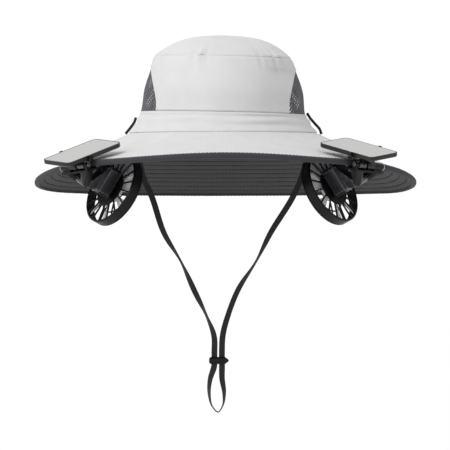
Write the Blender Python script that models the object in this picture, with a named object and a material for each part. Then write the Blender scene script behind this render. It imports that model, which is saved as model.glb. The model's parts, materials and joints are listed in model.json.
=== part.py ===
"""Solar fan hat: a wide-brimmed cloth sun hat, with two clip-on solar fans at the front of its brim and a chin strap.

The origin is the middle of the head opening, in the plane of the seam between crown and brim. +Z is up, the front
of the hat faces -Y, and +X is to the viewer's right. Lengths are in metres and angles in degrees. An angle round the
hat is 0 at the front and grows towards +X.
"""

import math

import bmesh
import bpy
import numpy as np
from mathutils import Matrix, Vector

GAP = 0.0003  # between pieces that touch on the real hat

# Crown: its walls, seen level. Columns: height, half width, half depth.
CROWN_ROWS = (
    (0.0000, 0.0945, 0.1120),
    (0.0080, 0.0882, 0.1060),
    (0.0150, 0.0846, 0.1022),
    (0.0220, 0.0828, 0.1000),
    (0.0450, 0.0798, 0.0962),
    (0.0640, 0.0735, 0.0890),
    (0.0770, 0.0690, 0.0835),
)
CLOTH = 0.0020
BAND_TOP = 0.0220
CROWN_SEAM = 0.0770
DOME_RISE = 0.0200
DOME_POWER = 2.9
LEAN_START = 0.0135
LEAN_LOW = 0.00175
LEAN_FRONT = 0.00075
LEAN_RIGHT = 0.00175
FOLD_DEPTH = 0.0011
BAND_COLUMNS = 36
BAND_ROWS = 3
WALL_COLUMNS = 14
WALL_ROWS = 2  # above the mesh panels
DOME_COLUMNS = 28
DOME_SHARES = (1.0, 0.92, 0.78, 0.52, 0.22)

# Mesh panels: an arch at each side of the crown, on the band.
MESH_CLOTH = 0.0010
MESH_TOP = 0.0660
MESH_HALF_ANGLE = 36.5
MESH_POWER = 2.0
MESH_COLUMNS = 6
MESH_CUT = 0.0014  # the flat top of a mesh panel, below the top of its arch
MESH_ROWS = 5
SEAM_ANGLE_GAP = 0.13
MESH_DROP = 0.0006  # how far below the arch a mesh panel's edge runs

# Brim: outline in plan, two plies and a binding round the edge.
BRIM_HALF_WIDTH = 0.1905
BRIM_HALF_DEPTH = 0.2030
BRIM_SHIFT_X = 0.0025
BRIM_SHIFT_Y = -0.0030
BRIM_INNER_X = 0.0925
BRIM_INNER_Y = 0.1100
BRIM_POWER = 1.05
BRIM_COLUMNS = 40
BRIM_ROWS = 4
PLY = 0.0014
PLY_GAP = 0.0004
# Columns: angle from the front, height of the edge below the seam.
BRIM_EDGE_ROWS = (
    (0.0, -0.0223),
    (30.0, -0.0263),
    (45.0, -0.0293),
    (60.0, -0.0348),
    (75.0, -0.0420),
    (90.0, -0.0488),
    (110.0, -0.0546),
    (130.0, -0.0568),
    (180.0, -0.0588),
)
SAG_DEPTH = 0.0028
SAG_ANGLE = 40.0
SAG_HALF_ANGLE = 24.0
BINDING_DEPTH = 0.0030
# The section of the binding. Columns: distance out from the plies, height above the top of the edge.
BINDING_SECTION = (
    (0.0003, 0.0004),
    (0.0023, 0.0004),
    (0.0033, -0.0006),
    (0.0033, -0.0034),
    (0.0023, -0.0044),
    (0.0003, -0.0044),
)

# Side straps on the band. Columns: distance out from the middle, height.
LEFT_STRAP_ROWS = (
    (0.0870, 0.0155),
    (0.0886, 0.0110),
    (0.0921, 0.0058),
    (0.0975, -0.0008),
)
RIGHT_STRAP_ROWS = (
    (0.0840, 0.0200),
    (0.0871, 0.0150),
    (0.0922, 0.0090),
    (0.0965, 0.0040),
    (0.0985, -0.0012),
)
SIDE_STRAP_WIDTH = 0.0120
SIDE_STRAP_THICKNESS = 0.0026

# Chin strap: one flat tape from the left of the head opening through the slider and back to the right.
# Columns: x, y, z, turn of the tape from facing the front.
CHIN_STRAP_ROWS = (
    (-0.0834, 0.0020, 0.0105, 90.0),
    (-0.0868, 0.0020, 0.0010, 90.0),
    (-0.0866, 0.0020, -0.0110, 76.0),
    (-0.0835, 0.0015, -0.0270, 40.0),
    (-0.0788, 0.0010, -0.0470, 8.0),
    (-0.0723, 0.0005, -0.0610, 0.0),
    (-0.0585, 0.0000, -0.1010, 24.0),
    (-0.0424, 0.0000, -0.1280, 74.0),
    (-0.0280, 0.0000, -0.1590, 20.0),
    (-0.0164, 0.0000, -0.1830, 70.0),
    (-0.0088, 0.0000, -0.2040, 20.0),
    (-0.0086, 0.0000, -0.2200, 0.0),
    (-0.0088, 0.0000, -0.2330, 0.0),
    (-0.0128, 0.0000, -0.2460, 40.0),
    (-0.0138, 0.0000, -0.2610, 66.0),
    (-0.0104, 0.0000, -0.2740, 84.0),
    (-0.0050, 0.0000, -0.2792, 90.0),
    (-0.0004, 0.0000, -0.2730, 84.0),
    (0.0012, 0.0000, -0.2610, 60.0),
    (-0.0010, 0.0000, -0.2450, 20.0),
    (-0.0010, 0.0000, -0.2330, 0.0),
    (-0.0011, 0.0000, -0.2200, 0.0),
    (-0.0003, 0.0000, -0.2030, 10.0),
    (0.0058, 0.0000, -0.1800, 24.0),
    (0.0150, 0.0000, -0.1570, 30.0),
    (0.0333, 0.0000, -0.1280, 74.0),
    (0.0470, 0.0000, -0.1010, 24.0),
    (0.0708, 0.0005, -0.0620, 0.0),
    (0.0777, 0.0010, -0.0470, -8.0),
    (0.0832, 0.0015, -0.0270, -40.0),
    (0.0866, 0.0020, -0.0110, -76.0),
    (0.0868, 0.0020, 0.0010, -90.0),
    (0.0834, 0.0020, 0.0105, -90.0),
)
STRAP_WIDTH = 0.0060
STRAP_THICKNESS = 0.0012
STRAP_SECTIONS = 58
SLIDER_MIDDLE = (-0.0052, 0.0, -0.2275)
SLIDER_SIZE = (0.0175, 0.0062, 0.0070)
SLIDER_SLOT = (0.0068, 0.0020)
SLIDER_SLOTS_X = (-0.0087, -0.00105)

# Fan units. One row each. Columns: side, angle of the clip on the brim, middle of the panel's top, its long axis
# (inwards), its short axis (backwards). Both are given as on the left; the right one is mirrored.
UNIT_ROWS = (
    ("left", 47.0, (-0.1352, -0.1450, -0.0191), (0.704, 0.648, 0.296), (-0.695, 0.711, 0.096)),
    ("right", 44.0, (-0.1300, -0.1520, -0.0158), (0.699, 0.682, 0.213), (-0.716, 0.684, 0.140)),
)
PIN_OUT = 0.0070  # from the brim's outline to the clip's pin
PIN_DOWN = 0.0045
PANEL_SIZE = (0.0700, 0.0390, 0.0047)
PANEL_CORNER = 0.0050
PANEL_LIP = 0.0008
PANEL_GLASS = 0.0012
CORNER_STEPS = 4
BRACKET_MIDDLE = -0.0085  # along the panel's long axis
BRACKET_WIDTH = 0.0060
BRACKET_THICKNESS = 0.0013
EAR_RISE = 0.0003

# Clip, along its pin (x), inwards over the brim (y) and up (z), from the middle of the pin.
PIN_RADIUS = 0.0015
PIN_REACH = (-0.0195, 0.0215)
PIN_HEAD_RADIUS = 0.0023
BORE_RADIUS = 0.0018
KNUCKLE_RADIUS = 0.0040
UPPER_KNUCKLE = (-0.0050, 0.0050)
# Columns: from, to, radius.
LOWER_KNUCKLES = ((-0.0170, -0.0053, 0.0040), (0.0168, 0.0200, 0.0028))
SPRING_REACH = (0.0058, 0.0162)
SPRING_RADIUS = 0.0030
SPRING_WIRE = 0.0006
SPRING_TURNS = 4
SPRING_STEPS = 7  # to a turn
# The upper jaw's root, plate and lip. Columns: along the pin, inwards, up.
UPPER_JAW_ROWS = (
    ((-0.0048, 0.0048), (-0.0020, 0.0062), (0.0030, 0.0050)),
    ((-0.0100, 0.0100), (0.0050, 0.0165), (0.0039, 0.0052)),
    ((-0.0096, 0.0096), (0.0138, 0.0161), (0.0032, 0.0045)),
)
LOWER_JAW = ((-0.0170, 0.0200), (-0.0035, 0.0170), (-0.0064, -0.0046))
LOWER_PAD = ((-0.0110, 0.0110), (0.0125, 0.0170), (-0.0060, -0.0015))

# Fan: its middle and tilt hinge from the clip's pin, and its axes, as on the left.
FAN_MIDDLE = (0.0370, 0.0310, -0.0229)
HINGE_MIDDLE = (0.0067, 0.0060, -0.0125)
FAN_DOWN = (-0.510, 0.000, -0.860)  # along the housing, towards its free end
FAN_OUT = (-0.729, -0.530, 0.4325)  # out of the intake side
FAN_RADIUS = 0.0345
HINGE_RADIUS = 0.0043
HINGE_HALF = 0.0060
EAR_LENGTH = 0.0048
HINGE_PIN = 0.0016
HINGE_BORE = 0.0019
HOUSING = ((-0.0190, 0.0100), (-0.0125, 0.0110), (0.0063, 0.0235))
HOUSING_CHAMFER = 0.0028

# Cage, seen along the fan's axis. Columns: radius, top, bottom, whether the step out to the next row is ribs.
CAGE_RIBS = 18
CAGE_RIB_WIDTH = 0.0013
CAGE_TWIST = 8.0
CAGE_ROWS = (
    (0.0185, 0.0060, 0.0044, True),
    (0.0341, 0.0060, 0.0044, False),
    (0.0346, 0.0057, -0.0030, False),
    (0.0358, 0.0048, -0.0030, False),
)
GRILLE_RIBS = 10
GRILLE_RIB_WIDTH = 0.0012
GRILLE_TWIST = -24.0
GRILLE_ROWS = (
    (0.0100, -0.0033, -0.0046, True),
    (0.0205, -0.0033, -0.0046, False),
    (0.0218, -0.0033, -0.0046, True),
    (0.0341, -0.0033, -0.0046, False),
    (0.0358, -0.0033, -0.0046, False),
)
ROTOR_HUB_RADIUS = 0.0105
ROTOR_HUB = (-0.0030, 0.0041)
ROTOR_BLADES = 7
BLADE_TIP = 0.0332
BLADE_THICKNESS = 0.0011
BLADE_TURN = 25.0  # the angle that a blade covers round the axis
BLADE_DROP = 0.0058
ROUND_SIDES = 12

# Columns: material, colour, roughness, metallic.
MATERIAL_ROWS = (
    ("hat_cloth", (0.74, 0.74, 0.75), 0.85, 0.0),
    ("mesh_cloth", (0.09, 0.088, 0.105), 0.9, 0.0),
    ("under_cloth", (0.055, 0.055, 0.058), 0.9, 0.0),
    ("binding_cloth", (0.10, 0.098, 0.115), 0.85, 0.0),
    ("strap_tape", (0.03, 0.03, 0.033), 0.8, 0.0),
    ("slider_plastic", (0.02, 0.02, 0.022), 0.4, 0.0),
    ("black_plastic", (0.014, 0.014, 0.016), 0.22, 0.0),
    ("panel_face", (0.62, 0.62, 0.61), 0.18, 0.0),
    ("spring_steel", (0.55, 0.55, 0.56), 0.25, 1.0),
    ("blade_plastic", (0.36, 0.37, 0.39), 0.3, 0.0),
)


def clear_scene():
    """Takes away whatever the scene holds at the start."""
    for thing in list(bpy.data.objects):
        bpy.data.objects.remove(thing)


def material(name):
    """The material of that name, made once from its row."""
    found = bpy.data.materials.get(name)
    if found:
        return found
    row = next(r for r in MATERIAL_ROWS if r[0] == name)
    made = bpy.data.materials.new(name)
    made.use_nodes = True
    shader = made.node_tree.nodes["Principled BSDF"]
    shader.inputs["Base Color"].default_value = (*row[1], 1.0)
    shader.inputs["Roughness"].default_value = row[2]
    shader.inputs["Metallic"].default_value = row[3]
    return made


def solid(name, points, faces, material_name):
    """A closed mesh object whose faces look outwards."""
    mesh = bpy.data.meshes.new(name)
    mesh.from_pydata([tuple(p) for p in points], [], faces)
    work = bmesh.new()
    work.from_mesh(mesh)
    bmesh.ops.recalc_face_normals(work, faces=work.faces)
    bmesh.ops.triangulate(work, faces=work.faces)
    work.to_mesh(mesh)
    work.free()
    made = bpy.data.objects.new(name, mesh)
    bpy.context.scene.collection.objects.link(made)
    mesh.materials.append(material(material_name))
    return made


def hull(points, name="hull", material_name="black_plastic"):
    """The convex solid round some points."""
    work = bmesh.new()
    for point in points:
        work.verts.new(tuple(point))
    result = bmesh.ops.convex_hull(work, input=work.verts)
    inside = [v for v in result["geom_interior"] if isinstance(v, bmesh.types.BMVert)]
    unused = [v for v in work.verts if not v.link_faces and v not in inside]
    bmesh.ops.delete(work, geom=inside + unused, context="VERTS")
    work.verts.index_update()
    corners = [v.co.copy() for v in work.verts]
    faces = [[v.index for v in f.verts] for f in work.faces]
    work.free()
    return solid(name, corners, faces, material_name)


def combine(target, other, operation):
    """Adds other to target, or cuts it away, and removes other."""
    modifier = target.modifiers.new("combine", "BOOLEAN")
    modifier.operation = operation
    modifier.solver = "EXACT"
    modifier.object = other
    bpy.context.view_layer.update()
    seen = target.evaluated_get(bpy.context.evaluated_depsgraph_get())
    mesh = bpy.data.meshes.new_from_object(seen)
    target.modifiers.clear()
    target.data = mesh
    bpy.data.objects.remove(other)


def union(target, others):
    """Joins solids that overlap into one."""
    for other in others:
        combine(target, other, "UNION")
    return target


def cut(target, others):
    """Cuts solids away from target."""
    for other in others:
        combine(target, other, "DIFFERENCE")
    return target


def smooth_value(rows, column, at):
    """A smooth line through one column of a table, along its first column, level at neither end."""
    places = np.array([row[0] for row in rows], float)
    values = np.array([row[column] for row in rows], float)
    slopes = np.gradient(values, places)
    i = int(np.clip(np.searchsorted(places, at) - 1, 0, len(places) - 2))
    step = places[i + 1] - places[i]
    t = (at - places[i]) / step
    start = (2 * t**3 - 3 * t**2 + 1) * values[i] + (t**3 - 2 * t**2 + t) * step * slopes[i]
    end = (3 * t**2 - 2 * t**3) * values[i + 1] + (t**3 - t**2) * step * slopes[i + 1]
    return float(start + end)


def smooth_path(rows, count):
    """Evenly spaced rows on a smooth line through a table's rows."""
    table = np.array(rows, float)
    along = np.concatenate([[0], np.cumsum(np.linalg.norm(np.diff(table[:, :3], axis=0), axis=1))])
    slopes = np.gradient(table, along, axis=0)
    out = []
    for at in np.linspace(0, along[-1], count):
        i = int(np.clip(np.searchsorted(along, at) - 1, 0, len(along) - 2))
        step = along[i + 1] - along[i]
        t = (at - along[i]) / step
        start = (2 * t**3 - 3 * t**2 + 1) * table[i] + (t**3 - 2 * t**2 + t) * step * slopes[i]
        end = (3 * t**2 - 2 * t**3) * table[i + 1] + (t**3 - t**2) * step * slopes[i + 1]
        out.append(start + end)
    return out


def sheet_solid(name, outer, inner, closed, material_name, caps=False):
    """A wall between two matching grids of points. closed joins the last column to the first, and caps closes the
    last row of each grid with a point in the middle."""
    rows = len(outer)
    columns = len(outer[0])
    points = [p for grid in (outer, inner) for row in grid for p in row]
    half = rows * columns
    faces = []
    last = columns if closed else columns - 1
    for i in range(rows - 1):
        for j in range(last):
            a, b = i * columns + j, i * columns + (j + 1) % columns
            c, d = b + columns, a + columns
            faces += [(a, b, c, d), (half + d, half + c, half + b, half + a)]
    for j in range(last):
        k = (j + 1) % columns
        faces.append((k, j, half + j, half + k))
        end = (rows - 1) * columns
        if not caps:
            faces.append((end + j, end + k, half + end + k, half + end + j))
    if not closed:
        for i in range(rows - 1):
            a, d = i * columns, (i + 1) * columns
            faces.append((a, d, half + d, half + a))
            b, c = a + columns - 1, d + columns - 1
            faces.append((c, b, half + b, half + c))
    if caps:
        for part in (0, 1):
            start = part * half + (rows - 1) * columns
            ring = points[start : start + columns]
            points.append(sum((Vector(p) for p in ring), Vector()) / columns)
            for j in range(columns):
                faces.append((start + j, start + (j + 1) % columns, len(points) - 1))
    return solid(name, points, faces, material_name)


def fold(angle, height):
    """Soft upright folds in the crown, none at its seams."""
    share = (height - BAND_TOP) / (CROWN_SEAM - BAND_TOP)
    if not 0 < share < 1:
        return 0.0
    turn = math.radians(angle)
    wave = math.sin(5 * turn + 0.7) + 0.6 * math.sin(11 * turn + 2.1)
    return FOLD_DEPTH * 0.6 * wave * math.sin(math.pi * share)


def lean(turn):
    """How much lower the crown's seams lie at an angle, as the worn crown tips to the front and the right."""
    return LEAN_LOW + LEAN_FRONT * math.cos(turn) + LEAN_RIGHT * math.sin(turn)


def lean_share(height):
    """How much of that a height takes: none at the brim, all of it from the band's top up."""
    return min(1.0, max(0.0, (height - LEAN_START) / (BAND_TOP - LEAN_START)))


def wall_point(angle, height, inwards=0.0):
    """A point of the crown's wall, on its outside or that far inside it."""
    turn = math.radians(angle)
    less = inwards - fold(angle, height)
    x = (smooth_value(CROWN_ROWS, 1, height) - less) * math.sin(turn)
    y = -(smooth_value(CROWN_ROWS, 2, height) - less) * math.cos(turn)
    return Vector((x, y, height - lean(turn) * lean_share(height)))


def mesh_heights():
    """The heights of the rows of points up a mesh panel's edges, closer near the top of the arch."""
    low, high = BAND_TOP + GAP, MESH_TOP - MESH_CUT
    return [low + (high - low) * math.sin(share * math.pi / 2) for share in np.linspace(0, 1, MESH_ROWS + 1)]


def arch_angle(height):
    """Half the angle that a mesh panel covers at a height."""
    share = (height - BAND_TOP) / (MESH_TOP - BAND_TOP)
    if share >= 1:
        return 0.0
    return MESH_HALF_ANGLE * (1 - max(share, 0.0) ** MESH_POWER) ** (1 / MESH_POWER)


def wall_panel(name, side):
    """The front or back of the crown, between the two mesh panels. side is 0 for the front and 180 for the back."""
    outer, inner = [], []
    above = list(np.linspace(MESH_TOP, CROWN_SEAM - GAP, WALL_ROWS + 1))
    for height in mesh_heights() + above:
        edge = 90.0 - arch_angle(height) - SEAM_ANGLE_GAP
        angles = side + np.linspace(-edge, edge, WALL_COLUMNS + 1)
        outer.append([wall_point(a, height) for a in angles])
        inner.append([wall_point(a, height, CLOTH) for a in angles])
    return sheet_solid(name, outer, inner, False, "hat_cloth")


def mesh_panel(name, side):
    """The ventilating net at one side of the crown. side is -90 for the left and 90 for the right."""
    outer, inner = [], []
    for height in mesh_heights():
        edge = arch_angle(height + MESH_DROP) - SEAM_ANGLE_GAP
        angles = side + np.linspace(-edge, edge, MESH_COLUMNS + 1)
        outer.append([wall_point(a, height, 0.0004) for a in angles])
        inner.append([wall_point(a, height, 0.0004 + MESH_CLOTH) for a in angles])
    return sheet_solid(name, outer, inner, False, "mesh_cloth")


def dome_point(angle, share, inwards=0.0):
    """A point of the crown's top. share is 0 in the middle and 1 at the seam."""
    turn = math.radians(angle)
    base = CROWN_SEAM + GAP
    x = (CROWN_ROWS[-1][1] - inwards) * share * math.sin(turn)
    y = -(CROWN_ROWS[-1][2] - inwards) * share * math.cos(turn)
    z = base + (DOME_RISE - GAP - inwards) * (1 - share**DOME_POWER)
    return Vector((x, y, z - lean(turn) * share**3))


def crown_top():
    """The domed top of the crown."""
    angles = np.linspace(0, 360, DOME_COLUMNS, endpoint=False)
    outer = [[dome_point(a, s) for a in angles] for s in DOME_SHARES]
    inner = [[dome_point(a, s, CLOTH) for a in angles] for s in DOME_SHARES]
    return sheet_solid("crown_top", outer, inner, True, "hat_cloth", caps=True)


def hat_band():
    """The flared band between the crown and the brim."""
    angles = np.linspace(0, 360, BAND_COLUMNS, endpoint=False)
    heights = np.linspace(GAP, BAND_TOP - GAP, BAND_ROWS + 1)
    outer = [[wall_point(a, h) for a in angles] for h in heights]
    inner = [[wall_point(a, h, CLOTH) for a in angles] for h in heights]
    return sheet_solid("hat_band", outer, inner, True, "hat_cloth")


def edge_height(angle):
    """The height of the brim's edge at an angle from the front, level at the front and the back."""
    away = abs((angle + 180.0) % 360.0 - 180.0)
    mirrored = [(-row[0], row[1]) for row in reversed(BRIM_EDGE_ROWS[1:3])]
    beyond = [(360.0 - row[0], row[1]) for row in reversed(BRIM_EDGE_ROWS[-3:-1])]
    return smooth_value([*mirrored, *BRIM_EDGE_ROWS, *beyond], 1, away)


def clip_sag(angle, share):
    """How far the weight of the fan units presses the brim down between its seam and its edge."""
    away = abs((angle + 180.0) % 360.0 - 180.0)
    near = math.exp(-(((away - SAG_ANGLE) / SAG_HALF_ANGLE) ** 2))
    return SAG_DEPTH * near * math.sin(math.pi * share)


def outline_point(angle, inwards=0.0):
    """A point of the brim's outline in plan, or that far inside it."""
    turn = math.radians(angle)
    x = BRIM_SHIFT_X + (BRIM_HALF_WIDTH - inwards) * math.sin(turn)
    y = BRIM_SHIFT_Y - (BRIM_HALF_DEPTH - inwards) * math.cos(turn)
    return Vector((x, y, 0.0))


def brim_point(angle, share, down=0.0):
    """A point of the brim's top. share is 0 at the seam and 1 where the binding starts."""
    turn = math.radians(angle)
    start = Vector((BRIM_INNER_X * math.sin(turn), -BRIM_INNER_Y * math.cos(turn), 0.0))
    end = outline_point(angle, BINDING_DEPTH + GAP)
    point = start.lerp(end, share)
    point.z = edge_height(angle) * share**BRIM_POWER - clip_sag(angle, share) - down
    return point


def brim_ply(name, down, material_name):
    """One ply of the brim, whose top is that far below the brim's top."""
    angles = np.linspace(0, 360, BRIM_COLUMNS, endpoint=False)
    shares = np.linspace(0, 1, BRIM_ROWS + 1)
    outer = [[brim_point(a, s, down) for a in angles] for s in shares]
    inner = [[brim_point(a, s, down + PLY) for a in angles] for s in shares]
    return sheet_solid(name, outer, inner, True, material_name)


def brim_binding():
    """The binding round the brim's edge."""
    angles = np.linspace(0, 360, BRIM_COLUMNS, endpoint=False)
    columns = len(BINDING_SECTION)
    points, faces = [], []
    for angle in angles:
        for out, up in BINDING_SECTION:
            point = outline_point(angle, BINDING_DEPTH + GAP - out)
            point.z = edge_height(angle) + up
            points.append(point)
    for i in range(BRIM_COLUMNS):
        for j in range(columns):
            a, b = i * columns + j, i * columns + (j + 1) % columns
            step = ((i + 1) % BRIM_COLUMNS - i) * columns
            faces.append((a, b, b + step, a + step))
    return solid("brim_binding", points, faces, "binding_cloth")


def tape(name, path, across, width, thickness, material_name):
    """A flat tape along a path. across holds the direction of its width at each point."""
    points, faces = [], []
    count = len(path)
    for i, middle in enumerate(path):
        along = (path[min(i + 1, count - 1)] - path[max(i - 1, 0)]).normalized()
        wide = (across[i] - along * across[i].dot(along)).normalized()
        thick = along.cross(wide)
        for a, b in ((-1, -1), (1, -1), (1, 1), (-1, 1)):
            points.append(middle + wide * (a * width / 2) + thick * (b * thickness / 2))
    for i in range(count - 1):
        for j in range(4):
            a, b = 4 * i + j, 4 * i + (j + 1) % 4
            faces.append((a, b, b + 4, a + 4))
    end = 4 * (count - 1)
    faces += [(3, 2, 1, 0), (end, end + 1, end + 2, end + 3)]
    return solid(name, points, faces, material_name)


def side_strap(name, rows, side):
    """A short strap down one side of the band, through which the chin strap is set on the real hat."""
    path = [Vector((side * x, 0.0, z)) for x, z in rows]
    across = [Vector((0, 1, 0))] * len(path)
    return tape(name, path, across, SIDE_STRAP_WIDTH, SIDE_STRAP_THICKNESS, "strap_tape")


def chin_strap():
    """The whole chin strap, from one side of the head opening to the other."""
    rows = smooth_path(CHIN_STRAP_ROWS, STRAP_SECTIONS)
    path = [Vector(row[:3]) for row in rows]
    across = []
    for i, row in enumerate(rows):
        along = (path[min(i + 1, len(path) - 1)] - path[max(i - 1, 0)]).normalized()
        level = Vector((0, 1, 0)).cross(along).normalized()
        turn = math.radians(row[3])
        across.append(level * math.cos(turn) + Vector((0, 1, 0)) * math.sin(turn))
    return tape("chin_strap", path, across, STRAP_WIDTH, STRAP_THICKNESS, "strap_tape")


def block_points(ranges, frame=None, chamfer=0.0):
    """The corners of a block between three ranges, each corner cut back by chamfer."""
    points = []
    for x in (0, 1):
        for y in (0, 1):
            for z in (0, 1):
                corner = Vector((ranges[0][x], ranges[1][y], ranges[2][z]))
                inward = Vector((1 - 2 * x, 1 - 2 * y, 1 - 2 * z)) * chamfer
                cuts = [Vector(inward)] if not chamfer else []
                for axis in range(3):
                    if chamfer:
                        kept = Vector(inward)
                        kept[axis] = 0.0
                        cuts.append(kept)
                points += [corner + c for c in cuts]
    return [frame @ p for p in points] if frame else points


def round_points(radius, reach, frame, sides=ROUND_SIDES):
    """The rims of a cylinder along the frame's x axis."""
    points = []
    for x in reach:
        for k in range(sides):
            turn = 2 * math.pi * k / sides
            points.append(frame @ Vector((x, radius * math.cos(turn), radius * math.sin(turn))))
    return points


def rod(radius, reach, frame, name="rod", material_name="black_plastic", sides=ROUND_SIDES):
    """A cylinder along the frame's x axis."""
    return hull(round_points(radius, reach, frame, sides), name, material_name)


def strap_slider():
    """The cord stop that gathers the chin strap's two legs."""
    x, y, z = (s / 2 for s in SLIDER_SIZE)
    frame = Matrix.Translation(SLIDER_MIDDLE)
    ends = [frame @ Vector((x + 0.0022, 0.0, h)) for h in (-0.0008, 0.0008)]
    body = hull(block_points(((-x, x), (-y, y), (-z, z)), frame, 0.0014) + ends, "strap_slider", "slider_plastic")
    slots = []
    for middle in SLIDER_SLOTS_X:
        wide = (middle - SLIDER_SLOT[0] / 2, middle + SLIDER_SLOT[0] / 2)
        deep = (-SLIDER_SLOT[1] / 2, SLIDER_SLOT[1] / 2)
        slots.append(hull(block_points((wide, deep, (SLIDER_MIDDLE[2] - 0.01, SLIDER_MIDDLE[2] + 0.01)))))
    return cut(body, slots)


def axes_frame(x, y, z, origin):
    """A frame with those axes, made square to each other, z kept."""
    z = Vector(z).normalized()
    x = (Vector(x) - z * Vector(x).dot(z)).normalized()
    y = z.cross(x)
    return Matrix((
        (x.x, y.x, z.x, origin[0]),
        (x.y, y.y, z.y, origin[1]),
        (x.z, y.z, z.z, origin[2]),
        (0.0, 0.0, 0.0, 1.0),
    ))


def clip_frame(side, angle):
    """The clip's frame as on the left: x along the pin to the front, y inwards over the brim, z up."""
    sign = -1.0 if side == "left" else 1.0
    here = outline_point(sign * angle)
    here.z = edge_height(angle)
    ahead = outline_point(sign * (angle - 2.0))
    ahead.z = edge_height(angle - 2.0)
    inner = brim_point(sign * angle, 0.86)
    along = (ahead - here).normalized()
    inwards = inner - here
    out = Vector((-inwards.x, -inwards.y, 0.0)).normalized()
    origin = here + out * PIN_OUT - Vector((0, 0, PIN_DOWN))
    if side == "right":
        along.x, inwards.x, origin.x = -along.x, -inwards.x, -origin.x
    up = along.cross(inwards).normalized()
    return axes_frame(along, inwards, up, origin)


def mirror(things):
    """Mirrors solids built as on the left to the right."""
    flip = Matrix.Diagonal((-1.0, 1.0, 1.0, 1.0))
    for thing in things:
        thing.data.transform(flip)
        thing.data.flip_normals()
    return things


def rounded_loop(size_x, size_y, corner, height, frame):
    """A level loop of points round a rectangle with rounded corners."""
    points = []
    for k, (sx, sy) in enumerate(((1, 1), (-1, 1), (-1, -1), (1, -1))):
        middle = Vector((sx * (size_x / 2 - corner), sy * (size_y / 2 - corner), height))
        for i in range(CORNER_STEPS + 1):
            turn = math.radians(90 * k + 90 * i / CORNER_STEPS)
            points.append(frame @ (middle + Vector((math.cos(turn), math.sin(turn), 0)) * corner))
    return points


def stacked_loops(name, loops, material_name):
    """A solid through level loops of points, closed flat at both ends."""
    points = [p for loop in loops for p in loop]
    count = len(loops[0])
    faces = []
    for i in range(len(loops) - 1):
        for j in range(count):
            a, b = i * count + j, i * count + (j + 1) % count
            faces.append((a, b, b + count, a + count))
    faces.append(tuple(reversed(range(count))))
    faces.append(tuple(range((len(loops) - 1) * count, len(loops) * count)))
    return solid(name, points, faces, material_name)


def panel_frame(name, frame):
    """The tray that holds the solar panel."""
    x, y, z = PANEL_SIZE
    c, lip = PANEL_CORNER, PANEL_LIP
    loops = [
        rounded_loop(x - 0.0024, y - 0.0024, c - 0.0010, -z, frame),
        rounded_loop(x, y, c, -z + 0.0010, frame),
        rounded_loop(x, y, c, 0.0, frame),
        rounded_loop(x - 2 * lip, y - 2 * lip, c - lip, 0.0, frame),
        rounded_loop(x - 2 * lip, y - 2 * lip, c - lip, -PANEL_GLASS - GAP, frame),
    ]
    return stacked_loops(name, loops, "black_plastic")


def solar_panel(name, frame):
    """The solar panel's face plate."""
    less = 2 * (PANEL_LIP + GAP)
    loops = []
    for height in (-PANEL_GLASS, 0.0):
        loop = rounded_loop(PANEL_SIZE[0] - less, PANEL_SIZE[1] - less, PANEL_CORNER - less / 2, height, frame)
        loops.append(loop)
    return stacked_loops(name, loops, "panel_face")


def upper_jaw(name, clip, panel):
    """The clip's upper lever: knuckle, jaw over the brim and the bracket that carries the panel."""
    half = PANEL_SIZE[1] / 2 + GAP
    along = (BRACKET_MIDDLE - BRACKET_WIDTH / 2, BRACKET_MIDDLE + BRACKET_WIDTH / 2)
    low = -PANEL_SIZE[2] - GAP
    bar = hull(
        block_points((along, (-half - 0.002, half + 0.002), (low - BRACKET_THICKNESS, low)), panel), name
    )
    ears = []
    for sign in (-1, 1):
        across = sorted((sign * half, sign * (half + 0.0018)))
        narrow = (BRACKET_MIDDLE - 0.0016, BRACKET_MIDDLE + 0.0016)
        ears.append(hull(block_points((narrow, across, (low - 0.001, EAR_RISE)), panel)))
    knuckle = rod(KNUCKLE_RADIUS, UPPER_KNUCKLE, clip)
    inset = (UPPER_KNUCKLE[0] + 0.0004, UPPER_KNUCKLE[1] - 0.0004)
    foot = round_points(KNUCKLE_RADIUS - 0.0004, inset, clip, 8)
    over = (panel.inverted() @ (clip @ Vector((0, 0, 0.012)))).y
    thin = (low - BRACKET_THICKNESS + 0.0003, low - 0.0003)
    slim = (along[0] + 0.0003, along[1] - 0.0003)
    head = block_points((slim, (over - 0.0042, over + 0.0042), thin), panel)
    riser = hull([p for p in foot if (clip.inverted() @ p).z > -0.0005] + head)
    jaw = [hull(block_points(row, clip)) for row in UPPER_JAW_ROWS]
    made = union(bar, [*ears, knuckle, riser, *jaw])
    return cut(made, [rod(BORE_RADIUS, (-0.03, 0.03), clip)])


def clip_pin(name, clip):
    """The steel pin through both levers."""
    head = rod(PIN_HEAD_RADIUS, (PIN_REACH[1] - 0.0012, PIN_REACH[1]), clip, "head", "spring_steel", 8)
    shaft = rod(PIN_RADIUS, PIN_REACH, clip, name, "spring_steel", 8)
    return union(shaft, [head])


def clip_spring(name, clip):
    """The torsion spring round the pin."""
    sides, steps = 3, SPRING_STEPS * SPRING_TURNS
    points, faces = [], []
    for i in range(steps + 1):
        turn = 2 * math.pi * i / SPRING_STEPS
        x = SPRING_REACH[0] + SPRING_WIRE + (SPRING_REACH[1] - SPRING_REACH[0] - 2 * SPRING_WIRE) * i / steps
        out = Vector((0, math.cos(turn), math.sin(turn)))
        for k in range(sides):
            way = 2 * math.pi * (k + 0.5) / sides
            offset = out * (SPRING_RADIUS + SPRING_WIRE * math.cos(way))
            points.append(clip @ (Vector((x + SPRING_WIRE * math.sin(way), 0, 0)) + offset))
    for i in range(steps):
        for k in range(sides):
            a, b = i * sides + k, i * sides + (k + 1) % sides
            faces.append((a, b, b + sides, a + sides))
    faces += [tuple(range(sides)), tuple(range(steps * sides, (steps + 1) * sides))]
    return solid(name, points, faces, "spring_steel")


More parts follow.
